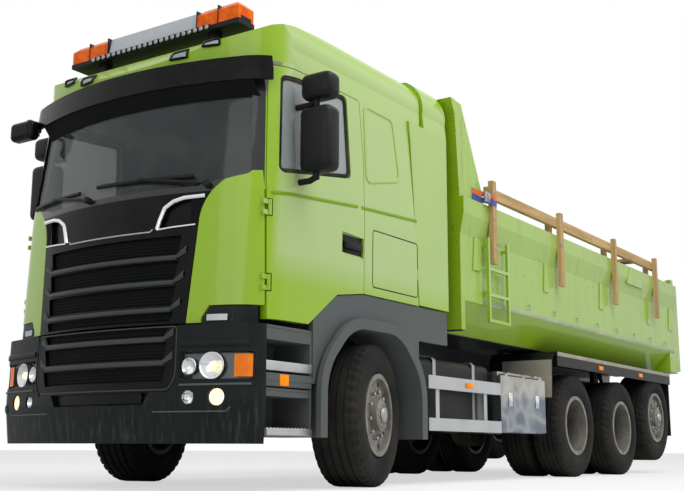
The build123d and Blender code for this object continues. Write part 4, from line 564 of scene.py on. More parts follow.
# Each metal: name, colour, roughness, brush lines a metre, wave, grime
stainless = polished_steel()
aluminium = metal("aluminium", linear(190, 192, 194), 0.30, 140, 0.2, 0.18)
chrome = metal("chrome", linear(222, 223, 225), 0.06, 30, 0.05, 0.04)
steel_edge = metal("steel_edge", linear(165, 167, 170), 0.35, 90, 0.1, 0.10)
reflector = metal("reflector", linear(150, 152, 155), 0.24, 30, 3.0, 0.02)
dark_mirror = metal("dark_mirror", linear(92, 94, 96), 0.25, 30, 2.0, 0.04)
rim_silver = rim_paint()
print("metals:", [finish.material.name for finish in (stainless, aluminium, chrome, rim_silver)])

# %% [markdown]
# ## Glass, lamps, timber and cloth
# The windscreen is dark and half clear, so that it mirrors the sky and still shows the
# seats; the side windows are paler, their pale colour a painted reflection of the sky. Lens
# glass is nearly clear, and the bowls behind it do the sparkling. Timber gets its grain
# from noise drawn out along the board, and cloth its weave from two sets of ribs that cross.


# %% Clear and warm finishes
def glass(name, color, alpha, rough=0.03, shine=0.6):
    """Return a thin tinted glass with a trace of dust."""
    finish = Finish(name)
    film = finish.span(finish.speckle(5, 5), 0.45, 0.8)
    return finish.surface(color=finish.mix(film * 0.15, color, DUST), alpha=alpha + film * 0.06,
                          rough=rough + film * 0.05, specular=shine)


def amber_lens(name, light, dark):
    """Return ribbed orange lens plastic that glows a little."""
    finish = Finish(name)
    ribs = (finish.axes()[1] * 420.0).wave()
    shade = finish.span(finish.speckle(12, 4), 0.3, 0.7)
    color = finish.mix(shade, light, dark)
    return finish.surface(color=color, rough=0.2 + shade * 0.1, specular=0.12, glow=color,
                          glow_strength=0.10, normal=finish.bump(ribs, 0.3, 0.002))


def lit(name, color, strength):
    """Return a glowing finish, brighter in its middle cells."""
    finish = Finish(name)
    cells = finish.span(finish.speckle(90, 2), 0.2, 0.8)
    glow = finish.mix(cells, color, linear(255, 250, 235))
    return finish.surface(color=glow, rough=0.3, glow=glow, glow_strength=strength)


POST_INNER_Y = 1.2925


def timber():
    """Return sawn softwood: posts have upright grain, boards have it along the truck."""
    finish = Finish("timber")
    post = abs(finish.axes()[1]) > POST_INNER_Y
    up = finish.speckle(26, 5, (1, 1, 0.06))
    along = finish.speckle(26, 5, (0.06, 1, 1))
    grain = up * post + along * (1 - post)
    knots = finish.span(finish.speckle(7, 2), 0.66, 0.74)
    color = finish.mix(finish.span(grain, 0.3, 0.7), linear(200, 168, 114), linear(160, 124, 78))
    color = finish.mix(knots * 0.7, color, linear(96, 62, 38))
    return finish.surface(color=color, rough=0.7, normal=finish.bump(grain, 0.4, 0.004))


def cloth(name, color, scale):
    """Return woven cloth from two crossed sets of ribs."""
    finish = Finish(name)
    x, y, z = finish.axes()
    weave = (y * scale).wave() * ((x + z) * scale).wave()
    fade = finish.span(finish.speckle(6, 4), 0.3, 0.7)
    return finish.surface(color=finish.mix(fade, color, darker(color, 0.7)), rough=0.85,
                          sheen=0.3, normal=finish.bump(weave, 0.3, 0.001))


window_glass = glass("window_glass", linear(58, 68, 70), 0.30)
# Pale, mostly opaque side glass: a painted reflection of the sky in its colour.
sky_sheen_side_glass = glass("sky_sheen_side_glass", linear(168, 178, 176), 0.62)
lens_glass = glass("lens_glass", linear(120, 126, 128), 0.05, 0.02, 0.2)
amber = amber_lens("amber_lens", linear(255, 146, 0), linear(236, 112, 0))
beacon = amber_lens("beacon_lens", linear(238, 118, 2), linear(214, 66, 2))
warm_light = lit("warm_light", linear(255, 196, 92), 1.1)
red_lens = grained("red_lens", linear(150, 12, 10), 0.15, 200, 0.05)
softwood = timber()
seat_cloth = cloth("seat_cloth", linear(64, 66, 72), 900.0)
orange_web = cloth("orange_web", linear(222, 92, 20), 1500.0)
blue_web = cloth("blue_web", linear(28, 60, 150), 1500.0)
print("clear and warm:", [finish.material.name for finish in (window_glass, amber, softwood)])

# %% [markdown]
# ## Dressing the solids
# Most of the truck's solids already have the right shape, so they only need a finish.
# A table of finishes and nodes does it. The tyres, mirrors and seats get one as well,
# though modelled pieces stand in for them further on.

# %% Give every solid its finish
wheels = ["_".join((axle, side)) for axle in ("front", "drive_1", "drive_2", "tag")
          for side, _ in SIDES]
DRESSING = (
    (panel, "corner_panels air_deflectors bed_ladder"),
    (cab, "cab_body"),
    (roof, "cab_roof"),
    (door, "left_door right_door"),
    (bed_finish, "bed_tub tailgate"),
    (bumper_plastic, "front_bumper"),
    (arch_plastic, "front_mudguards cab_steps"),
    (dark_plastic, "rear_mudguards left_mirror right_mirror tanks"),
    (bar_plastic, "light_bar"),
    (black_gloss, "grille_panel lower_grille sun_visor"),
    (window_glass, "windscreen"),
    (sky_sheen_side_glass, "left_door_glass right_door_glass"),
    (lens_glass, "headlamps"),
    (beacon, "beacon_lenses"),
    (frame_paint, "chassis_frame tipper_subframe springs"),
    (cast_iron, "front_axle drive_axles tag_axle left_knuckle right_knuckle engine hoist_barrel"),
    (chrome, "hoist_stage_1 hoist_stage_2 hoist_stage_3"),
    (aluminium, "side_guards"),
    (stainless, "toolbox toolbox_lid"),
    (softwood, "timber_rails"),
    (interior_plastic, "dashboard"),
    (seat_cloth, "seats"),
    (tyre_rubber, " ".join(wheel + "_tyre" for wheel in wheels)),
    (rim_silver, " ".join(wheel + "_wheel" for wheel in wheels)),
)
for finish, names in DRESSING:
    for name in names.split():
        node = frame["nodes"][name]
        if not node.material_slots:
            node.data.materials.append(None)
        for place in node.material_slots:
            place.material = finish.material
print("dressed:", sum(len(names.split()) for _, names in DRESSING), "nodes")

# %% [markdown]
# ## Mesh words
# Trim is made of a few forms: bevelled blocks, strips swept along a line, and turned
# shapes. One class gathers any number of them in a bmesh and turns them into a piece
# that rides on a body.


# %% Blocks, sweeps and turned forms
def spokes(axis, count, start=0.0):
    """Return unit vectors round an axis, the first one a share of a step on."""
    first = axis.orthogonal().normalized()
    second = axis.cross(first)
    turns = [2 * math.pi * (k + start) / count for k in range(count)]
    return [first * math.cos(turn) + second * math.sin(turn) for turn in turns]


class Shape:
    """Gathers forms in the truck's frame and becomes one piece."""

    def __init__(self):
        self.mesh = bmesh.new()

    def block(self, low, high, bevel=0.004):
        """Add a bevelled block between two corners."""
        low, high = Vector(low), Vector(high)
        size = high - low
        made = bmesh.ops.create_cube(self.mesh, size=1)["verts"]
        spot = Matrix.Translation((low + high) / 2) @ Matrix.Diagonal((size.x, size.y, size.z, 1))
        bmesh.ops.transform(self.mesh, matrix=spot, verts=made)
        edges = list({edge for vert in made for edge in vert.link_edges})
        bmesh.ops.bevel(self.mesh, geom=edges, offset=bevel, segments=3, profile=0.5,
                        affect="EDGES", clamp_overlap=True)

    def side_block(self, side, low, high, bevel):
        """Add a block on one side of the truck; its y runs outwards from the middle."""
        low_y, high_y = sorted((side * low[1], side * high[1]))
        self.block((low[0], low_y, low[2]), (high[0], high_y, high[2]), bevel)

    def sweep(self, points, normals, section, closed=False):
        """Carry a section, (sideways, outwards) pairs, along a line that lies on a surface."""
        rings = []
        last = len(points) - 1
        for index, point in enumerate(points):
            before = points[index - 1] if index or closed else point
            after = points[(index + 1) % len(points)] if index < last or closed else point
            run = (after - before).normalized()
            side = run.cross(normals[index]).normalized()
            rise = side.cross(run)
            rings.append([self.mesh.verts.new(point + side * a + rise * b) for a, b in section])
        for first, second in zip(rings, rings[1:] + (rings[:1] if closed else [])):
            for j in range(len(section)):
                k = (j + 1) % len(section)
                self.mesh.faces.new((first[j], first[k], second[k], second[j]))
        if not closed:
            self.mesh.faces.new(rings[0][::-1])
            self.mesh.faces.new(rings[-1])

    def strip(self, points, normals, width, height, closed=False):
        """Sweep a low strip with rounded shoulders, its foot a little sunk."""
        half, sink = width / 2, -0.002
        section = [(-half, sink), (-half, height * 0.6), (-half * 0.6, height),
                   (half * 0.6, height), (half, height * 0.6), (half, sink)]
        self.sweep(points, normals, section, closed)

    def tube(self, points, radius, sides=12):
        """Sweep a round section along a line."""
        points = [Vector(point) for point in points]
        turns = [2 * math.pi * k / sides for k in range(sides)]
        section = [(radius * math.cos(t), radius * math.sin(t)) for t in turns]
        run = (points[1] - points[0]).normalized()
        guide = Vector((0, 0, 1)) if abs(run.z) < 0.8 else Vector((1, 0, 0))
        self.sweep(points, [guide] * len(points), section)

    def turned(self, profile, centre, axis, sides=40):
        """Turn (radius, along) pairs about an axis through a centre."""
        axis = Vector(axis).normalized()
        rings = [[self.mesh.verts.new(Vector(centre) + out * r + axis * a) for r, a in profile]
                 for out in spokes(axis, sides)]
        for ring, after in zip(rings, rings[1:] + rings[:1]):
            for j in range(len(profile) - 1):
                self.mesh.faces.new((ring[j], after[j], after[j + 1], ring[j + 1]))
        rim = [vert for ring in rings for vert in ring]
        bmesh.ops.remove_doubles(self.mesh, verts=rim, dist=0.00002)

    def patch(self, grid):
        """Join rows of points into one sheet."""
        rows = [[self.mesh.verts.new(point) for point in row] for row in grid]
        for row, after in zip(rows, rows[1:]):
            for j in range(len(row) - 1):
                self.mesh.faces.new((row[j], row[j + 1], after[j + 1], after[j]))

    def done(self, name, body, finish, slot, smooth=50):
        """Turn what was gathered into one piece that rides on a body."""
        bmesh.ops.recalc_face_normals(self.mesh, faces=self.mesh.faces)
        data = bpy.data.meshes.new(name)
        self.mesh.to_mesh(data)
        self.mesh.free()
        data.materials.append(finish.material)
        data.shade_smooth()
        data.set_sharp_from_angle(angle=math.radians(smooth))
        piece = bpy.data.objects.new(name, data)
        bpy.context.collection.objects.link(piece)
        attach(piece, body)
        return piece


print("forms:", [name for name in vars(Shape) if not name.startswith("_")])

# %% [markdown]
# ## Seating trim on the solids
# A strip could be placed by measured points, but panels are curved and a small error
# leaves it floating. So a line is drawn flat, as seen from ahead or from the side, cut
# into short runs, and each point is carried to the panel by a ray.

# %% Rays, divided lines and rounded outlines
RAY_X = 9
RAY_Y = 4


def skin(*names):
    """Return a search tree over some of the truck's solids."""
    verts, polygons = [], []
    for name in names:
        data = frame["nodes"][name].data
        start = len(verts)
        verts.extend(vert.co.copy() for vert in data.vertices)
        polygons.extend([start + index for index in polygon.vertices] for polygon in data.polygons)
    return BVHTree.FromPolygons(verts, polygons)


def seat(tree, origin, direction):
    """Return where a ray meets a surface and the surface's direction there."""
    place, normal = tree.ray_cast(Vector(origin), Vector(direction))[:2]
    if place is None:
        place, normal = tree.find_nearest(Vector(origin))[:2]
    return place, (normal if normal.dot(Vector(direction)) < 0 else -normal)


def from_ahead(tree, y, z):
    """Return where a surface is met from ahead, and its direction there."""
    return seat(tree, (RAY_X, y, z), (-1, 0, 0))


def ahead_of(tree, y, z, gap):
    """Return the point a small gap ahead of a surface."""
    return from_ahead(tree, y, z)[0] + Vector((gap, 0, 0))


def from_side(tree, x, z, side):
    """Return where a surface is met from one side, and its direction there."""
    return seat(tree, (x, side * RAY_Y, z), (0, -side, 0))


def divided(points, step=0.03, closed=False):
    """Add points between corners so that a strip can follow a curved panel."""
    result = []
    ends = points[1:] + (points[:1] if closed else [])
    for first, second in zip(points, ends):
        count = max(1, math.ceil(math.dist(first, second) / step))
        result.extend([a + (b - a) * k / count for a, b in zip(first, second)]
                      for k in range(count))
    return result if closed else result + [list(points[-1])]


def rounded(points, radius, steps=4):
    """Round the corners of a closed outline with short quadratic curves."""
    result = []
    for last, corner, after in zip(points[-1:] + points[:-1], points, points[1:] + points[:1]):
        corner = Vector(corner)
        start = corner + (Vector(last) - corner).normalized() * radius
        end = corner + (Vector(after) - corner).normalized() * radius
        for k in range(steps + 1):
            share = k / steps
            point = start.lerp(corner, share).lerp(corner.lerp(end, share), share)
            result.append(tuple(point))
    return result


def on_front(tree, points, closed=False):
    """Seat (y, z) points on a surface seen from ahead."""
    hits = [from_ahead(tree, y, z) for y, z in divided(points, closed=closed)]
    return [hit[0] for hit in hits], [hit[1] for hit in hits]


def on_side(tree, points, side, closed=False):
    """Seat (ahead of the front axle, z) points on a surface seen from one side."""
    hits = [from_side(tree, FRONT_AXLE + s, z, side) for s, z in divided(points, closed=closed)]
    return [hit[0] for hit in hits], [hit[1] for hit in hits]


print("rays start", RAY_X, "m ahead and", RAY_Y, "m to the side")

# %% [markdown]
# ## Tyres
# A truck tyre shows grooves round its crown and lugs along its shoulders. The profile is
# turned about the wheel's own roll axis, taken from the joint, so the steered pair comes
# out turned. Lugs are the same profile, drawn in at every few steps of the turn.

# %% Turn the tyres
TYRE_R = 0.515
BEAD_R = 0.287
SINGLE_W = 0.385
TWIN_W = 0.312
TWIN_SPACING = 0.345
GROOVE = 0.013
LUG_STEPS = 5
LUGS = 42
# Each row: drop below the crown, share of the half width
CROWN = [(0, 0), (0, 0.11), (GROOVE, 0.13), (GROOVE, 0.19), (0, 0.21), (0, 0.43),
         (GROOVE, 0.45), (GROOVE, 0.51), (0, 0.53)]
SHOULDER = [(0.000, 0.60), (0.001, 0.72), (0.005, 0.79), (0.014, 0.84), (0.034, 0.895)]
SIDEWALL = [(0.040, 0.90), (0.070, 0.955), (0.105, 0.99), (0.130, 0.995), (0.165, 0.975),
            (0.196, 0.92), (0.214, 0.84), (0.222, 0.78), (TYRE_R - BEAD_R, 0.76)]


def tyre_ring(shape, centre, axis, half_width):
    """Add one tyre with its grooves, lugs and open bead."""
    half_profile = [(drop, share, 0) for drop, share in CROWN]
    half_profile += [(drop, share, 1) for drop, share in SHOULDER]
    half_profile += [(drop, share, 0) for drop, share in SIDEWALL]
    profile = [(drop, -share, lug) for drop, share, lug in reversed(half_profile[1:])]
    profile += half_profile
    rings = []
    for k, out in enumerate(spokes(axis, LUGS * LUG_STEPS)):
        notch = GROOVE if k % LUG_STEPS in (0, 1) else 0
        rings.append([shape.mesh.verts.new(
            centre + out * (TYRE_R - drop - notch * lug) + axis * share * half_width)
            for drop, share, lug in profile])
    for ring, after in zip(rings, rings[1:] + rings[:1]):
        for j in range(len(profile)):
            k = (j + 1) % len(profile)
            shape.mesh.faces.new((ring[j], after[j], after[k], ring[k]))


def wheel_axis(wheel):
    """Return a wheel's centre and its axis pointing away from the truck."""
    joint = joints[wheel + "_roll"]
    side = 1 if wheel.endswith("left") else -1
    axis = Vector(joint["axis"]).normalized()
    return Vector(joint["pos_m"]), axis * (side if axis.y > 0 else -side)


for wheel in wheels:
    centre, axis = wheel_axis(wheel)
    tyre = Shape()
    if wheel.startswith("drive"):
        tyre_ring(tyre, centre, axis, TWIN_W / 2)
        tyre_ring(tyre, centre - axis * TWIN_SPACING, axis, TWIN_W / 2)
    else:
        tyre_ring(tyre, centre, axis, SINGLE_W / 2)
    piece = tyre.done(wheel + "_tread", wheel + "_wheel", tyre_rubber, "tyre", smooth=40)
    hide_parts(wheel + "_tyre")
print("tyres:", len(wheels), "pieces")

# %% [markdown]
# ## Wheel nuts and hubs
# Ten nuts hold each wheel, a ring of small screws closes each hub and a cap covers its
# middle. Rather than copying the depth of the disc, a ray along the axle finds it, so the
# same lines fit the deep dish of the twin wheels and the bulged disc of the single ones.

# %% Seat the nuts on the discs
OUTSIDE = 0.5
NUT = [(0.0, 0.034), (0.011, 0.034), (0.0150, 0.030), (0.0150, 0.006), (0.0205, 0.005),
       (0.0205, -0.003)]
SCREW = [(0.0, 0.010), (0.005, 0.010), (0.0070, 0.007), (0.0070, -0.002)]
HUB_CAP = [(0.0, 0.022), (0.035, 0.021), (0.050, 0.015), (0.055, 0.004), (0.055, -0.002)]
# Each row: radius of the ring, how many, profile
FASTENERS = ((0.1675, 10, NUT), (0.085, 12, SCREW))
for wheel in wheels:
    centre, axis = wheel_axis(wheel)
    tree = skin(wheel + "_wheel")
    fasteners = Shape()
    for ring_r, count, profile in FASTENERS:
        for out in spokes(axis, count, 0.5):
            place = seat(tree, centre + out * ring_r + axis * OUTSIDE, -axis)[0]
            fasteners.turned(profile, place, axis, 6)
    fasteners.turned(HUB_CAP, seat(tree, centre + axis * OUTSIDE, -axis)[0], axis)
    fasteners.done(wheel + "_nuts", wheel + "_wheel", steel_edge, "rim", smooth=30)
print("fasteners per wheel:", sum(count for _, count, _ in FASTENERS))

# %% [markdown]
# ## Grille blades and mesh
# The black grille wears three grey blades whose ends turn up, and the lower grille has
# two more inside a thin frame line. Between them lies dark wire mesh. Blades and wires
# are drawn as (y, z) points from ahead and pressed onto the panel by rays, so they follow
# the crown of the cab.

# %% Blades, frame line and mesh
grille_tree = skin("grille_panel", "corner_panels", "cab_body")
lower_tree = skin("lower_grille")
LOWER_FRAME = rounded([(-0.610, 0.640), (0.610, 0.640), (0.660, 0.722), (0.660, 1.0455),
                       (-0.660, 1.0455), (-0.660, 0.722)], 0.03)
# Each row: panel, height, half length, how far the blade stands out
BLADES = (
    (grille_tree, 1.160, 0.590, 0.016), (grille_tree, 1.340, 0.600, 0.016),
    (grille_tree, 1.507, 0.610, 0.016), (lower_tree, 0.8125, 0.565, 0.005),
    (lower_tree, 0.965, 0.565, 0.005),
)
# Each row: panel, lower edge, upper edge, half length
MESH_BANDS = (
    (grille_tree, 1.080, 1.140, 0.585), (grille_tree, 1.190, 1.315, 0.590),
    (grille_tree, 1.365, 1.485, 0.600), (grille_tree, 1.530, 1.655, 0.610),
    (lower_tree, 0.690, 0.790, 0.560), (lower_tree, 0.835, 0.945, 0.560),
    (lower_tree, 0.985, 1.040, 0.560),
)
MESH_EDGE = 0.006
WIRE_STEP = 0.022
WIRE_INSET = 0.012


def blade(shape, tree, z, half_y, height):
    """Add a louvre blade whose ends widen and turn up."""
    shape.strip(*on_front(tree, [(-half_y, z), (half_y, z)]), 0.030, height)
    for side in (1, -1):
        grid = []
        for k in range(5):
            y, middle, spread = half_y - 0.01 + 0.020 * k, z + 0.013 * k, 0.013 + 0.003 * k
            row = []
            for rise, share in ((-1, 0.4), (0, 1), (1, 0.4)):
                place, normal = from_ahead(tree, side * y, middle + rise * spread)
                row.append(place + normal * height * share)
            grid.append(row)
        shape.patch(grid)


blades, mesh = Shape(), Shape()
for row in BLADES:
    blade(blades, *row)
blades.strip(*on_front(lower_tree, LOWER_FRAME, closed=True), 0.009, 0.004, closed=True)
blades.done("grille_blades", "chassis", blade_grey, "dark_plastic")
for tree, low, high, half_y in MESH_BANDS:
    levels = ((low + MESH_EDGE, half_y - MESH_EDGE), ((low + high) / 2, half_y),
              (high - MESH_EDGE, half_y + 0.025 - MESH_EDGE))
    mesh.patch([[ahead_of(tree, reach * (k / 14 - 1), z, 0.003) for k in range(29)]
                for z, reach in levels])
    for k in range(int((high - low) / WIRE_STEP)):
        z = low + 0.016 + WIRE_STEP * k
        wire = [(-half_y + WIRE_INSET, z), (half_y - WIRE_INSET, z)]
        mesh.strip(*on_front(tree, wire), 0.006, 0.009)
mesh.done("grille_mesh", "chassis", mesh_black, "dark_plastic")
print("grille:", len(BLADES), "blades and", len(MESH_BANDS), "bands of mesh")

# %% [markdown]
# ## Bright trim on the grille
# One thin bright line closes the grille at its top, and a bright brow and sill run round
# the dark inlet on each side. The brow has to stop where the black panel does, so a ray
# is stepped outwards until it misses the panel.

# %% Bright line, brows and inlets
panel_tree = skin("grille_panel")
TOP_LINE = [(-0.41, 1.712), (-0.39, 1.695), (0.39, 1.695), (0.41, 1.712)]
INLET_INNER_Y = 0.690
INLET_LEVELS = (1.734, 1.780, 1.830, 1.870, 1.899)
EDGE_START, EDGE_STEP, EDGE_MARGIN = 0.60, 0.004, 0.012


def panel_edge(z):
    """Return how far out the black panel reaches at one height."""
    y = EDGE_START
    while panel_tree.ray_cast(Vector((RAY_X, y, z)), Vector((-1, 0, 0)))[0] is not None:
        y += EDGE_STEP
    return y - EDGE_MARGIN


BROW = [(0.445, 1.708), (0.462, 1.770), (0.495, 1.852), (0.560, 1.893), (0.640, 1.912),
        (panel_edge(1.916), 1.916)]
SILL = [(0.445, 1.705), (0.560, 1.714), (panel_edge(1.722), 1.722)]
line, bright, inlets = Shape(), Shape(), Shape()
line.strip(*on_front(grille_tree, TOP_LINE), 0.013, 0.010)
line.done("grille_line", "chassis", steel_edge, "aluminium")
for side in (1, -1):
    for route, width, height in ((BROW, 0.030, 0.016), (SILL, 0.014, 0.012)):
        points = [(side * y, z) for y, z in route]
        bright.strip(*on_front(grille_tree, points), width, height)
    grid = []
    for z in INLET_LEVELS:
        ys = [INLET_INNER_Y + (panel_edge(z) - INLET_INNER_Y) * k / 4 for k in range(5)]
        grid.append([ahead_of(grille_tree, side * y, z, 0.002) for y in ys])
    inlets.patch(grid)
inlets.done("grille_inlets", "chassis", mesh_black, "dark_plastic")
bright.done("grille_bright_trim", "chassis", chrome, "chrome")
print("brows end at y", round(BROW[-1][0], 3))

# %% [markdown]
# ## Headlamps
# Each headlamp is a clear cover over two bowls, with an amber block at its outer end and
# two round lamps below. The cover is the solid itself; behind it go a dark mirrored
# back, turned bowls and a bulb. Rays give the cover's surface, and everything is set back
# from it along the normal. A small lamp also sits low in each corner panel.

# %% Bowls behind the covers
lamp_tree = skin("headlamps")
# Bowl: share of the radius, depth. Bulb: radius in a bowl of BULB_BOWL_R, depth
BOWL = [(0.0, -0.036), (0.25, -0.034), (0.6, -0.026), (0.85, -0.012), (1.0, -0.003),
        (1.06, -0.004), (1.06, -0.012)]
BULB = [(0.0, -0.012), (0.010, -0.014), (0.016, -0.022), (0.016, -0.036)]
BULB_BOWL_R = 0.05


def bowl(shape, y, z, radius):
    """Add a reflector bowl behind the cover at (y, z)."""
    profile = [(radius * share, depth - 0.004) for share, depth in BOWL]
    shape.turned(profile, *from_ahead(lamp_tree, y, z), 36)


def cover_patch(shape, y_span, z_span, depth, count=14):
    """Add a sheet that follows the cover at some depth below it."""
    grid = []
    for k in range(count + 1):
        y = y_span[0] + (y_span[1] - y_span[0]) * k / count
        row = []
        for m in range(5):
            z = z_span[0] + (z_span[1] - z_span[0]) * m / 4
            place, normal = from_ahead(lamp_tree, y, z)
            row.append(place - normal * depth)
        grid.append(row)
    shape.patch(grid)


MAIN_Y, MAIN_Z, MAIN_R = 0.910, 0.788, 0.082
LOW_LAMP_Z = 0.590
for name, side in SIDES:
    bowls, glow, back, block, corner = (Shape() for _ in range(5))
    bowl(bowls, side * 0.752, 0.786, 0.050)
    bowl(bowls, side * MAIN_Y, MAIN_Z, MAIN_R)
    bulb = [(r * MAIN_R / BULB_BOWL_R, depth) for r, depth in BULB]
    glow.turned(bulb, *from_ahead(lamp_tree, side * MAIN_Y, MAIN_Z), 24)
    bowl(bowls, side * 0.755, LOW_LAMP_Z, 0.046 * 0.92)
    bowl(glow, side * 0.955, LOW_LAMP_Z, 0.054 * 0.92)
    cover_patch(back, (side * 0.700, side * 1.165), (0.706, 0.868), 0.042)
    cover_patch(block, (side * 1.062, side * 1.172), (0.715, 0.858), 0.010, 22)
    cover_patch(corner, (side * 0.845, side * 0.980), (1.078, 1.119), -0.001)
    corner.done(name + "_corner_lamp", "chassis", reflector, "chrome")
    bowls.done(name + "_lamp_bowls", "chassis", chrome, "chrome")
    glow.done(name + "_lamp_bulbs", "chassis", warm_light, "lamp_glass")
    back.done(name + "_lamp_back", "chassis", dark_mirror, "chrome")
    block.done(name + "_lamp_indicator", "chassis", amber, "amber")
print("lamps: two headlamps, four low lamps")

# %% [markdown]
# ## Bumper lines
# The bumper is one moulding, but a raised line runs along its lower edge and another
# below the lamps, both in a paler grey that paints the highlight their edges catch; a plug
# closes the towing hole near the step, and a shelf sits above the lamps. All are strips
# pressed on by rays, except the plug, which is turned.

# %% Highlight edges, plug and shelf on the bumper
bumper_tree = skin("front_bumper")
PLUG = [(0.0, 0.003), (0.020, 0.003), (0.026, 0.0045), (0.032, 0.003), (0.032, -0.002)]
lines, edges = Shape(), Shape()
# Each row: shape, points, width, height
BUMPER_STRIPS = (
    (edges, ((0.50, 0.500), (1.02, 0.500), (1.05, 0.525)), 0.009, 0.005),
    (edges, ((0.70, 0.668), (1.17, 0.668)), 0.014, 0.010),
    (lines, ((0.70, 0.925), (1.16, 0.925)), 0.040, 0.010),
)
for side in (1, -1):
    for shape, points, width, height in BUMPER_STRIPS:
        route = [(side * y, z) for y, z in points]
        shape.strip(*on_front(bumper_tree, route), width, height)
    lines.turned(PLUG, *from_ahead(bumper_tree, side * 1.12, 0.545), 28)
lines.done("bumper_lines", "chassis", bumper_plastic, "dark_plastic")
# The two edge lines in paler grey plastic: a painted highlight along the bumper's edges.
edges.done("bumper_highlight_lines", "chassis", arch_plastic, "dark_plastic")
print("bumper strips:", len(BUMPER_STRIPS), "a side, and a plug")

# %% [markdown]
# ## Roof lamps
# Four small lamps sit in the roof's brow. Each frame is a strip swept round the lamp's
# outline, and the face is a sheet of bright reflector seated on the roof inside it.

# %% Frames and faces in the brow
roof_tree = skin("cab_roof", "headlamps")
# Each row: y, z, half width, half height
ROOF_LAMPS = ((0.465, 2.985, 0.068, 0.030), (0.715, 3.035, 0.062, 0.020))
frames, faces = Shape(), Shape()
for y, z, half_y, half_z in ROOF_LAMPS:
    for side in (1, -1):
        loop = [(side * y + a * half_y, z + b * half_z)
                for a, b in ((-1, -1), (1, -1), (1, 1), (-1, 1))]
        frames.strip(*on_front(roof_tree, loop, closed=True), 0.016, 0.010, closed=True)
        ys = [side * y + half_y * 0.86 * (k / 3 - 1) for k in range(7)]
        faces.patch([[ahead_of(roof_tree, across, z + half_z * 0.8 * m, 0.001) for m in (-1, 0, 1)]
                     for across in ys])
frames.done("roof_lamp_frames", "chassis", black_gloss, "gloss_black")
faces.done("roof_lamp_faces", "chassis", reflector, "chrome")
print("roof lamps:", 2 * len(ROOF_LAMPS))

# %% [markdown]
# ## The light bar
# A row of diodes runs under the light bar on a dark strip, and dark bands split the
# amber ends from the pale middle. The diodes are small turned bowls of reflector,
# seated by rays on the strip that the solid has there.

# %% Strip, diodes and bands
LED_COUNT = 22
LED_REACH = 0.58
LED = [(0.0, 0.003), (0.010, 0.003), (0.016, 0.0008), (0.018, -0.002)]
STRIP_Z = 3.218
STRIP_HALF_Y, STRIP_HALF_Z = 0.605, 0.018
diodes, strip_back, bands = Shape(), Shape(), Shape()
strip_x = from_ahead(lamp_tree, 0, STRIP_Z)[0].x
strip_back.block((strip_x - 0.020, -STRIP_HALF_Y, STRIP_Z - STRIP_HALF_Z),
                 (strip_x - 0.002, STRIP_HALF_Y, STRIP_Z + STRIP_HALF_Z))
strip_back.done("light_bar_strip", "chassis", mesh_black, "dark_plastic")
for k in range(LED_COUNT):
    y = -LED_REACH + 2 * LED_REACH * k / (LED_COUNT - 1)
    diodes.turned(LED, *from_ahead(lamp_tree, y, STRIP_Z), 16)
diodes.done("light_bar_diodes", "chassis", reflector, "lamp_glass")
lens_low, lens_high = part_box("beacon_lenses")
for y in (-0.657, -0.4555, 0.4555, 0.657):
    bands.block((lens_low.x - 0.003, y - 0.006, lens_low.z),
                (lens_high.x + 0.003, y + 0.006, lens_high.z - 0.001))
for side in (1, -1):
    bands.side_block(side, (lens_low.x + 0.03, lens_high.y - 0.002, lens_low.z),
                     (lens_high.x - 0.03, lens_high.y + 0.004, lens_low.z + 0.03), 0.002)
bands.done("light_bar_bands", "chassis", dark_plastic, "dark_plastic")

# %% [markdown]
# ## Wipers
# Two wipers rest along the foot of the windscreen. A wiper is an arm, a blade and a
# knob: a tube, a thin strip and a turned form, lifted off the glass along its normal.

# %% Wipers on the screen
screen_tree = skin("windscreen", "cab_body", "grille_panel")
KNOB = [(0.0, 0.045), (0.018, 0.044), (0.024, 0.036), (0.024, -0.002)]
BLADE_LIFT, ARM_LIFT = 0.012, 0.032
# Each row: foot of the arm, heel of the blade, tip of the blade, as (y, z)
WIPERS = (((0.80, 1.990), (0.68, 2.060), (-0.15, 2.080)),
          ((-0.22, 1.990), (-0.34, 2.065), (-1.00, 2.070)))
wipers = Shape()
for foot, heel, tip in WIPERS:
    points, normals = on_front(screen_tree, [heel, tip])
    wipers.strip([p + n * BLADE_LIFT for p, n in zip(points, normals)], normals, 0.026, 0.016)
    middle = ((heel[0] + tip[0]) / 2, (heel[1] + tip[1]) / 2 + 0.004)
    points, normals = on_front(screen_tree, [foot, middle])
    wipers.tube([p + n * ARM_LIFT for p, n in zip(points, normals)], 0.012)
    wipers.turned(KNOB, *from_ahead(screen_tree, *foot), 20)
wipers.done("wipers", "chassis", dark_plastic, "dark_plastic")
print("wipers:", len(WIPERS))

# %% [markdown]
# ## The visor's painted shadow, and the window seals
# Seen from below, the sun visor is closed by a dark sheet that reaches back to the screen:
# a patch between two rows of seated points, standing for the visor's underside and painting
# the shadow it casts on the glass. A rubber seal closes each side window; it is a strip on
# the pane, swept round its outline, and it swings with the door.

# %% Painted visor shadow and rubber seals
visor_tree = skin("sun_visor")
visor_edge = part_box("sun_visor")[0].z + 0.104
SHADOW_DROP = 0.10
WINDOW_LINE = rounded([(1.105, 2.093), (1.056, 2.771), (0.336, 2.818), (0.298, 2.228)], 0.05)
shade = []
for k in range(28):
    y = -0.95 + 0.075 * k
    front = ahead_of(visor_tree, y, visor_edge, -0.010)
    place, normal = from_ahead(screen_tree, y, visor_edge - SHADOW_DROP)
    back = place + normal * 0.006
    shade.append([front, front.lerp(back, 0.5), back])
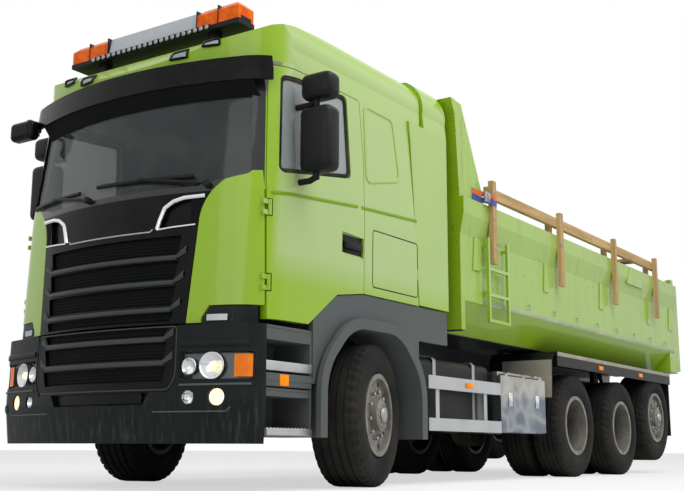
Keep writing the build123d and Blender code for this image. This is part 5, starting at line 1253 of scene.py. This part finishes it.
# A black sheet from the visor's lower edge back to the glass: its underside, and painted shadow on
# the windscreen.
visor_shadow = Shape()
visor_shadow.patch(shade)
visor_shadow.done("visor_shadow_sheet", "chassis", mesh_black, "dark_plastic")
for name, side in SIDES:
    pane_tree = skin(name + "_door_glass")
    seal = Shape()
    seal.strip(*on_side(pane_tree, WINDOW_LINE, side, closed=True), 0.030, 0.010, closed=True)
    seal.done(name + "_window_seal", name + "_door", rubber, "rubber")
print("visor's lower edge at z", round(visor_edge, 3))

# %% [markdown]
# ## Cab side
# The side of the cab has a locker door, a pressed blind panel behind the window, a
# crease along the belt and a dark door handle. The shut line is a narrow dark strip; the
# pressing is a low rounded strip in the cab's own colour, and the crease one in a darker,
# fuller lime that paints the shade beneath it.

# %% Locker, pressing, crease and handle
LOCKER = rounded([(-0.006, 1.45), (-0.006, 1.88), (-0.675, 1.88), (-0.675, 1.45)], 0.03)
PRESSING = rounded([(0.080, 2.835), (-0.329, 2.828), (-0.414, 2.350), (0.067, 2.238)], 0.06)
LOCK = [(0.0, 0.006), (0.012, 0.006), (0.016, 0.002), (0.016, -0.004)]
# Each row: name, points, body
CREASES = (("_door_crease", [(1.17, 1.930), (0.205, 2.018)], "_door"),
           ("_cab_crease", [(0.150, 2.022), (-0.660, 2.068)], None))
for name, side in SIDES:
    side_tree = skin("cab_body", name + "_door", "air_deflectors")
    shut_line, raised, handle = Shape(), Shape(), Shape()
    shut_line.strip(*on_side(side_tree, LOCKER, side, closed=True), 0.009, 0.0012, closed=True)
    shut_line.done(name + "_locker_shut_line", "chassis", rubber, "rubber")
    raised.strip(*on_side(side_tree, PRESSING, side, closed=True), 0.034, 0.007, closed=True)
    raised.done(name + "_side_pressing", "chassis", panel, "body_paint")
    # Crease strips in the darker lime: painted shade along the crease.
    for ending, points, body in CREASES:
        crease = Shape()
        crease.strip(*on_side(side_tree, points, side), 0.022, 0.006)
        crease.done(name + ending, name + body if body else "chassis", lime_crease_shade, "body_paint")
    handle.side_block(side, (FRONT_AXLE + 0.124, 1.192, 1.655),
                      (FRONT_AXLE + 0.396, 1.197, 1.788), 0.001)
    handle.side_block(side, (FRONT_AXLE + 0.145, 1.196, 1.686),
                      (FRONT_AXLE + 0.375, 1.224, 1.739), 0.010)
    handle.turned(LOCK, (FRONT_AXLE + 0.33, side * 1.197, 1.668), (0, side, 0), 20)
    handle.done(name + "_door_handle", name + "_door", dark_plastic, "dark_plastic")
print("creases:", len(CREASES), "a side")

# %% [markdown]
# ## Mirrors
# A truck mirror is a deep rounded housing with a pane set into its rear face. The solid
# gives the size; here each housing is a block with a broad bevel, the pane is a thinner
# block of bright metal, and the arms are tubes that end on the door.

# %% Rounded mirror housings
# Each row: rear, inner, low corner and front, outer, high corner, ahead of the front axle
MIRROR_SHELLS = (((0.830, 1.248, 2.095), (0.998, 1.498, 2.550)),
                 ((0.830, 1.248, 2.605), (0.988, 1.498, 2.790)))
RIM = 0.036
ARM_X, ARM_Y = FRONT_AXLE + 0.92, 1.35
for name, side in SIDES:
    shell, panes = Shape(), Shape()
    for (rear, inner, low), (front, outer, high) in MIRROR_SHELLS:
        shell.side_block(side, (FRONT_AXLE + rear, inner, low),
                         (FRONT_AXLE + front, outer, high), 0.048)
        panes.side_block(side, (FRONT_AXLE + rear - 0.004, inner + RIM, low + RIM),
                         (FRONT_AXLE + rear + 0.006, outer - RIM, high - RIM), 0.004)
    for z in (2.045, 2.580):
        shell.tube([(ARM_X, side * 1.175, z), (ARM_X, side * 1.30, z),
                    (ARM_X, side * ARM_Y, z + 0.02)], 0.022)
    for low, high, radius in ((2.05, 2.14, 0.024), (2.52, 2.66, 0.022)):
        shell.tube([(ARM_X, side * ARM_Y, low), (ARM_X, side * ARM_Y, high)], radius)
    housing = shell.done(name + "_mirror_housing", name + "_door", dark_plastic, "dark_plastic")
    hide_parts(name + "_mirror")
    panes.done(name + "_mirror_panes", name + "_door", chrome, "chrome")
print("mirrors:", len(MIRROR_SHELLS), "housings a side")

# %% [markdown]
# ## Entry steps
# Between bumper and wheel climb three steps: a bright foot, then two grey treads with a
# bright rail between them. All have raised studs for wet boots, and an amber marker sits
# beside them. Each tread is a block along the solid's step, with a row of turned studs.

# %% Treads, studs, rail and marker
step_low, step_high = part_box("cab_steps")
STUD = [(0.0, 0.006), (0.006, 0.0055), (0.009, 0.003), (0.009, -0.002)]
STUDS = 12
for name, side in SIDES:
    nosing, rail, marker = Shape(), Shape(), Shape()
    for tread, top, out_y in ((nosing, 0.395, 1.200), (rail, 0.650, 1.185), (rail, 1.050, 1.190)):
        tread.side_block(side, (step_low.x + 0.02, out_y - 0.05, top - 0.016),
                         (step_high.x - 0.02, out_y + 0.003, top + 0.003), 0.003)
        for k in range(STUDS):
            x = step_low.x + 0.05 + (step_high.x - step_low.x - 0.10) * k / (STUDS - 1)
            tread.turned(STUD, (x, side * (out_y - 0.024), top + 0.003), (0, 0, 1), 10)
    # Each row: shape, inset of the ends, inner y, outer y, low, high
    for shape, inset, inner, outer, low, high in (
            (nosing, 0.004, 1.145, 1.202, 0.762, 0.825),
            (nosing, 0.02, 1.145, 1.202, 0.352, 0.392),
            (rail, 0.004, 1.150, 1.197, 0.662, 0.748)):
        shape.side_block(side, (step_low.x + inset, inner, low),
                         (step_high.x - inset, outer, high), 0.006)
    marker.side_block(side, (step_high.x - 0.245, 1.190, 0.668),
                      (step_high.x - 0.150, 1.203, 0.742), 0.005)
    rail.done(name + "_step_rail", "chassis", arch_plastic, "dark_plastic")
    nosing.done(name + "_step_nosings", "chassis", aluminium, "aluminium")
    marker.done(name + "_step_marker", "chassis", amber, "amber")
print("steps from x", round(step_low.x, 3), "to", round(step_high.x, 3))

# %% [markdown]
# ## Seats and bunk
# Through the glass one sees two tall seats and a bunk. A cushion is a block whose faces
# swell and whose sides pull in between the corners; here that is a formula on a
# divided cube, which is quick and gives the same shape each run.


# %% Cushions in place of the plain seat solids
def cushion(low, high, swell):
    """Return a crowned pad that fills the box from low to high."""
    low, high = Vector(low), Vector(high)
    middle, size = (low + high) / 2, (high - low) / 2
    shape = Shape()
    made = bmesh.ops.create_cube(shape.mesh, size=2)["verts"]
    edges = list({edge for vert in made for edge in vert.link_edges})
    bmesh.ops.subdivide_edges(shape.mesh, edges=edges, cuts=9, use_grid_fill=True)
    for vert in shape.mesh.verts:
        x, y, z = vert.co
        ball = Vector((x, y, z)).normalized() * 1.18
        soft = Vector((x, y, z)).lerp(ball, 0.30)
        bulge = [1 - swell * (1 - (1 - b * b) * (1 - c * c)) for b, c in ((y, z), (x, z), (x, y))]
        vert.co = middle + Vector(max(-1, min(1, s * k)) * extent
                                  for s, k, extent in zip(soft, bulge, size))
    return shape


SEAT_SWELL, BUNK_SWELL = 0.16, 0.08
# Each row: part, rear, front, half width, low, high
SEAT_PADS = (("base", 3.00, 3.48, 0.25, 1.66, 1.83), ("back", 2.88, 3.08, 0.24, 1.74, 2.38),
             ("rest", 2.89, 3.02, 0.14, 2.40, 2.61))
pads = []
for name, middle_y in (("driver", 0.62), ("mate", -0.62)):
    for part, rear, front, half, low, high in SEAT_PADS:
        pad = cushion((rear, middle_y - half, low), (front, middle_y + half, high), SEAT_SWELL)
        piece = pad.done("_".join((name, "seat", part)), "chassis", seat_cloth, "fabric", smooth=80)
        pads.append(piece)
    stand = Shape()
    stand.block((3.04, middle_y - 0.20, 1.437), (3.44, middle_y + 0.20, 1.665), 0.02)
    stand.block((2.95, middle_y - 0.04, 2.30), (2.98, middle_y + 0.04, 2.45), 0.01)
    stand.done(name + "_seat_stand", "chassis", interior_plastic, "dark_plastic")
bunk = cushion((2.25, -1.05, 1.70), (2.81, 1.05, 1.83), BUNK_SWELL)
pads.append(bunk.done("bunk_mattress", "chassis", seat_cloth, "fabric", smooth=80))
for pad in pads:
    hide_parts("seats")
print("cushions:", [pad.name for pad in pads])

# %% [markdown]
# ## Along the frame
# Between the wheels hang tanks with steel straps and filler caps. Further back a
# galvanised strip edges the rear mudguards, a plate closes their front, and amber lamps
# mark the side of the truck. Straps and plates are strips, caps are turned.

# %% Tank straps, mudguard plates and side markers
tank_low, tank_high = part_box("tanks")
FILLER = [(0.0, 0.050), (0.045, 0.050), (0.055, 0.042), (0.055, 0.012), (0.062, 0.008),
          (0.062, -0.004)]
STRAP_INSET = 0.28
STRAP_BEND = 0.02
# Each row: x, y of the face, z
MARKERS = ((1.52, 1.235, 0.797), (-1.53, 1.263, 1.140), (-2.84, 1.263, 1.140))
straps, guards, caps, markers = (Shape() for _ in range(4))
for side in (1, -1):
    face = side * tank_high.y
    slope = Vector((0, side, 1)).normalized()
    normals = [Vector((0, 0, 1)), slope, slope, Vector((0, side, 0))]
    for x in (tank_low.x + STRAP_INSET, tank_high.x - STRAP_INSET):
        loop = [(side * 0.60, tank_high.z), (face - side * STRAP_BEND, tank_high.z),
                (face, tank_high.z - STRAP_BEND), (face, tank_low.z + STRAP_BEND)]
        straps.strip([Vector((x, y, z)) for y, z in loop], normals, 0.05, 0.005)
    caps.turned(FILLER, (tank_high.x - 0.16, side * 0.90, tank_high.z), (0, 0, 1), 32)
    for x, face_y, z in MARKERS:
        markers.side_block(side, (x - 0.055, face_y - 0.004, z - 0.022),
                           (x + 0.055, face_y + 0.014, z + 0.022), 0.006)
    guards.side_block(side, (-3.995, 1.2625, 1.190), (-0.345, 1.2665, 1.228), 0.001)
    front_plate = [Vector((-0.258, side * 0.97, 1.146)), Vector((-0.231, side * 0.97, 0.775))]
    guards.strip(front_plate, [Vector((1, 0, 0.08))] * 2, 0.53, 0.004)
straps.done("tank_straps", "chassis", steel_edge, "aluminium")
guards.done("mudguard_plates", "chassis", galvanised, "aluminium")
caps.done("tank_caps", "chassis", dark_plastic, "dark_plastic")
markers.done("side_markers", "chassis", amber, "amber")
print("side markers:", len(MARKERS), "a side")

# %% [markdown]
# ## Toolbox latches
# Two over-centre latches close the toolbox: a plate, a lever and a pivot on each, in
# bright metal. They ride on the lid, so that they go with it when it opens.

# %% Latches on the lid
lid_low, lid_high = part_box("toolbox_lid")
PIVOT = [(0.0, 0.012), (0.008, 0.011), (0.010, 0.004), (0.010, -0.002)]
latches = Shape()
top = lid_low.z + (lid_high.z - lid_low.z) * 0.55
for share in (0.2, 0.8):
    x = lid_low.x + (lid_high.x - lid_low.x) * share
    latches.block((x - 0.035, lid_high.y - 0.002, top - 0.06),
                  (x + 0.035, lid_high.y + 0.006, top + 0.06), 0.003)
    latches.block((x - 0.018, lid_high.y + 0.004, top - 0.045),
                  (x + 0.018, lid_high.y + 0.014, top + 0.040), 0.005)
    latches.turned(PIVOT, (x, lid_high.y + 0.006, top + 0.05), (0, 1, 0), 16)
latches.done("toolbox_latches", "toolbox_lid", chrome, "chrome")
print("toolbox lid:", [round(v, 3) for v in lid_low], [round(v, 3) for v in lid_high])

# %% [markdown]
# ## On the bed
# The timber posts are bolted through the rail, hooks for a tarpaulin hang along the
# side, and a pale strip runs along the ridge where wall meets slope. Bolts are turned,
# hooks are bent tubes, and the ridge is a strip seated along the crease.

# %% Bolts, hooks and the ridge
POST_X = (1.150, -0.405, -1.985, -3.460)
POST_OUT_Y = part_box("timber_rails")[1].y
BOLT = [(0.0, 0.007), (0.009, 0.006), (0.015, 0.001), (0.020, 0.001), (0.020, -0.002)]
BOLT_LEVELS = (2.02, 2.30, 2.545)
HOOKS = 9
HOOK_Z = 1.62
RIDGE = [(-1.75, 1.535), (-7.30, 1.535)]
bed_tree = skin("bed_tub")
bolts, hooks, ridge = Shape(), Shape(), Shape()
for side in (1, -1):
    for x in POST_X:
        for z in BOLT_LEVELS:
            bolts.turned(BOLT, (x, side * POST_OUT_Y, z), (0, side, 0), 16)
    ridge.strip(*on_side(bed_tree, RIDGE, side), 0.040, 0.006)
    reach, drop = Vector((0, side * 0.022, 0)), Vector((0, 0, -0.05))
    for k in range(HOOKS):
        place, normal = from_side(bed_tree, 0.9 - 0.6 * k, HOOK_Z, side)
        hooks.tube([place - normal * 0.003, place + reach, place + reach + drop * 0.7,
                    place + reach * 0.8 + drop], 0.006, 8)
bolts.done("post_bolts", "bed", steel_edge, "aluminium")
hooks.done("bed_hooks", "bed", steel_edge, "frame_paint")
ridge.done("bed_ridge", "bed", pale_ridge, "body_paint")
print("bolts per side:", len(BOLT_LEVELS) * len(POST_X))

# %% [markdown]
# ## The ratchet strap
# A ratchet strap holds the first post to the headboard. Its webbing is pulled taut, so
# it is a flat band swept along a few listed points, once in orange and once in
# blue below it, with a small steel buckle on both.

# %% Webbing and buckle
BAND = [(-0.024, 0.0), (-0.024, 0.003), (0.024, 0.003), (0.024, 0.0)]
on_post = POST_OUT_Y + 0.0005
# Along the strap: x and y of each point
ROUTE = ((1.43, 1.2515), (1.33, 1.262), (1.20, on_post), (1.186, on_post), (1.114, on_post))
# Each row: name, finish, z of each point
STRAPS = (("strap_orange", orange_web, (2.512, 2.505, 2.492, 2.490, 2.484)),
          ("strap_blue", blue_web, (2.455, 2.447, 2.436, 2.434, 2.430)))
for name, finish, levels in STRAPS:
    points = [Vector((x, y, z)) for (x, y), z in zip(ROUTE, levels)]
    webbing = Shape()
    webbing.sweep(points, [Vector((0, 1, 0))] * len(points), BAND)
    webbing.done(name, "bed", finish, "fabric")
buckle = Shape()
buckle.block((1.225, 1.300, 2.425), (1.300, 1.328, 2.520), 0.004)
buckle.block((1.235, 1.322, 2.440), (1.262, 1.340, 2.505), 0.006)
buckle.tube([(1.222, 1.314, 2.432), (1.222, 1.314, 2.514)], 0.008)
buckle.done("strap_buckle", "bed", steel_edge, "aluminium")
print("strap on the post at y", round(on_post, 4))

# %% [markdown]
# ## The tail
# Behind, lamp clusters sit on the under-run bar with a bare plate between them, and the
# gate has its lower catches. A ray from behind finds the bar, so the lamps touch it.

# %% Tail lamps, plate and catches
tail_tree = skin("chassis_frame")
BAR_Z = 0.50
gate_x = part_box("tailgate")[0].x
red, orange, dark, plate, catches = (Shape() for _ in range(5))


def bar_face(y):
    """Return where the under-run bar is met from behind."""
    return seat(tail_tree, (-RAY_X, y, BAR_Z), (1, 0, 0))[0].x


for side in (1, -1):
    x = bar_face(side * 0.90)
    dark.side_block(side, (x - 0.045, 0.72, 0.446), (x + 0.002, 1.12, 0.554), 0.008)
    for shape, inner, outer in ((red, 0.735, 0.905), (orange, 0.915, 1.005), (red, 1.015, 1.105)):
        shape.side_block(side, (x - 0.054, inner, 0.458), (x - 0.040, outer, 0.542), 0.006)
    for z in (1.34, 1.42):
        catches.side_block(side, (gate_x, 1.08, z - 0.02), (gate_x + 0.06, 1.16, z + 0.02), 0.006)
x = bar_face(0)
plate.block((x - 0.010, -0.26, 0.448), (x + 0.001, 0.26, 0.552), 0.003)
plate.block((x - 0.013, -0.245, 0.463), (x - 0.008, 0.245, 0.537), 0.002)
red.done("tail_lamps_red", "chassis", red_lens, "lamp_glass")
orange.done("tail_lamps_amber", "chassis", amber, "amber")
dark.done("tail_lamp_housings", "chassis", dark_plastic, "dark_plastic")
plate.done("tail_blank_plate", "chassis", aluminium, "aluminium")
catches.done("tailgate_catches", "tailgate", frame_paint, "frame_paint")
print("under-run bar's face at x", round(x, 3))
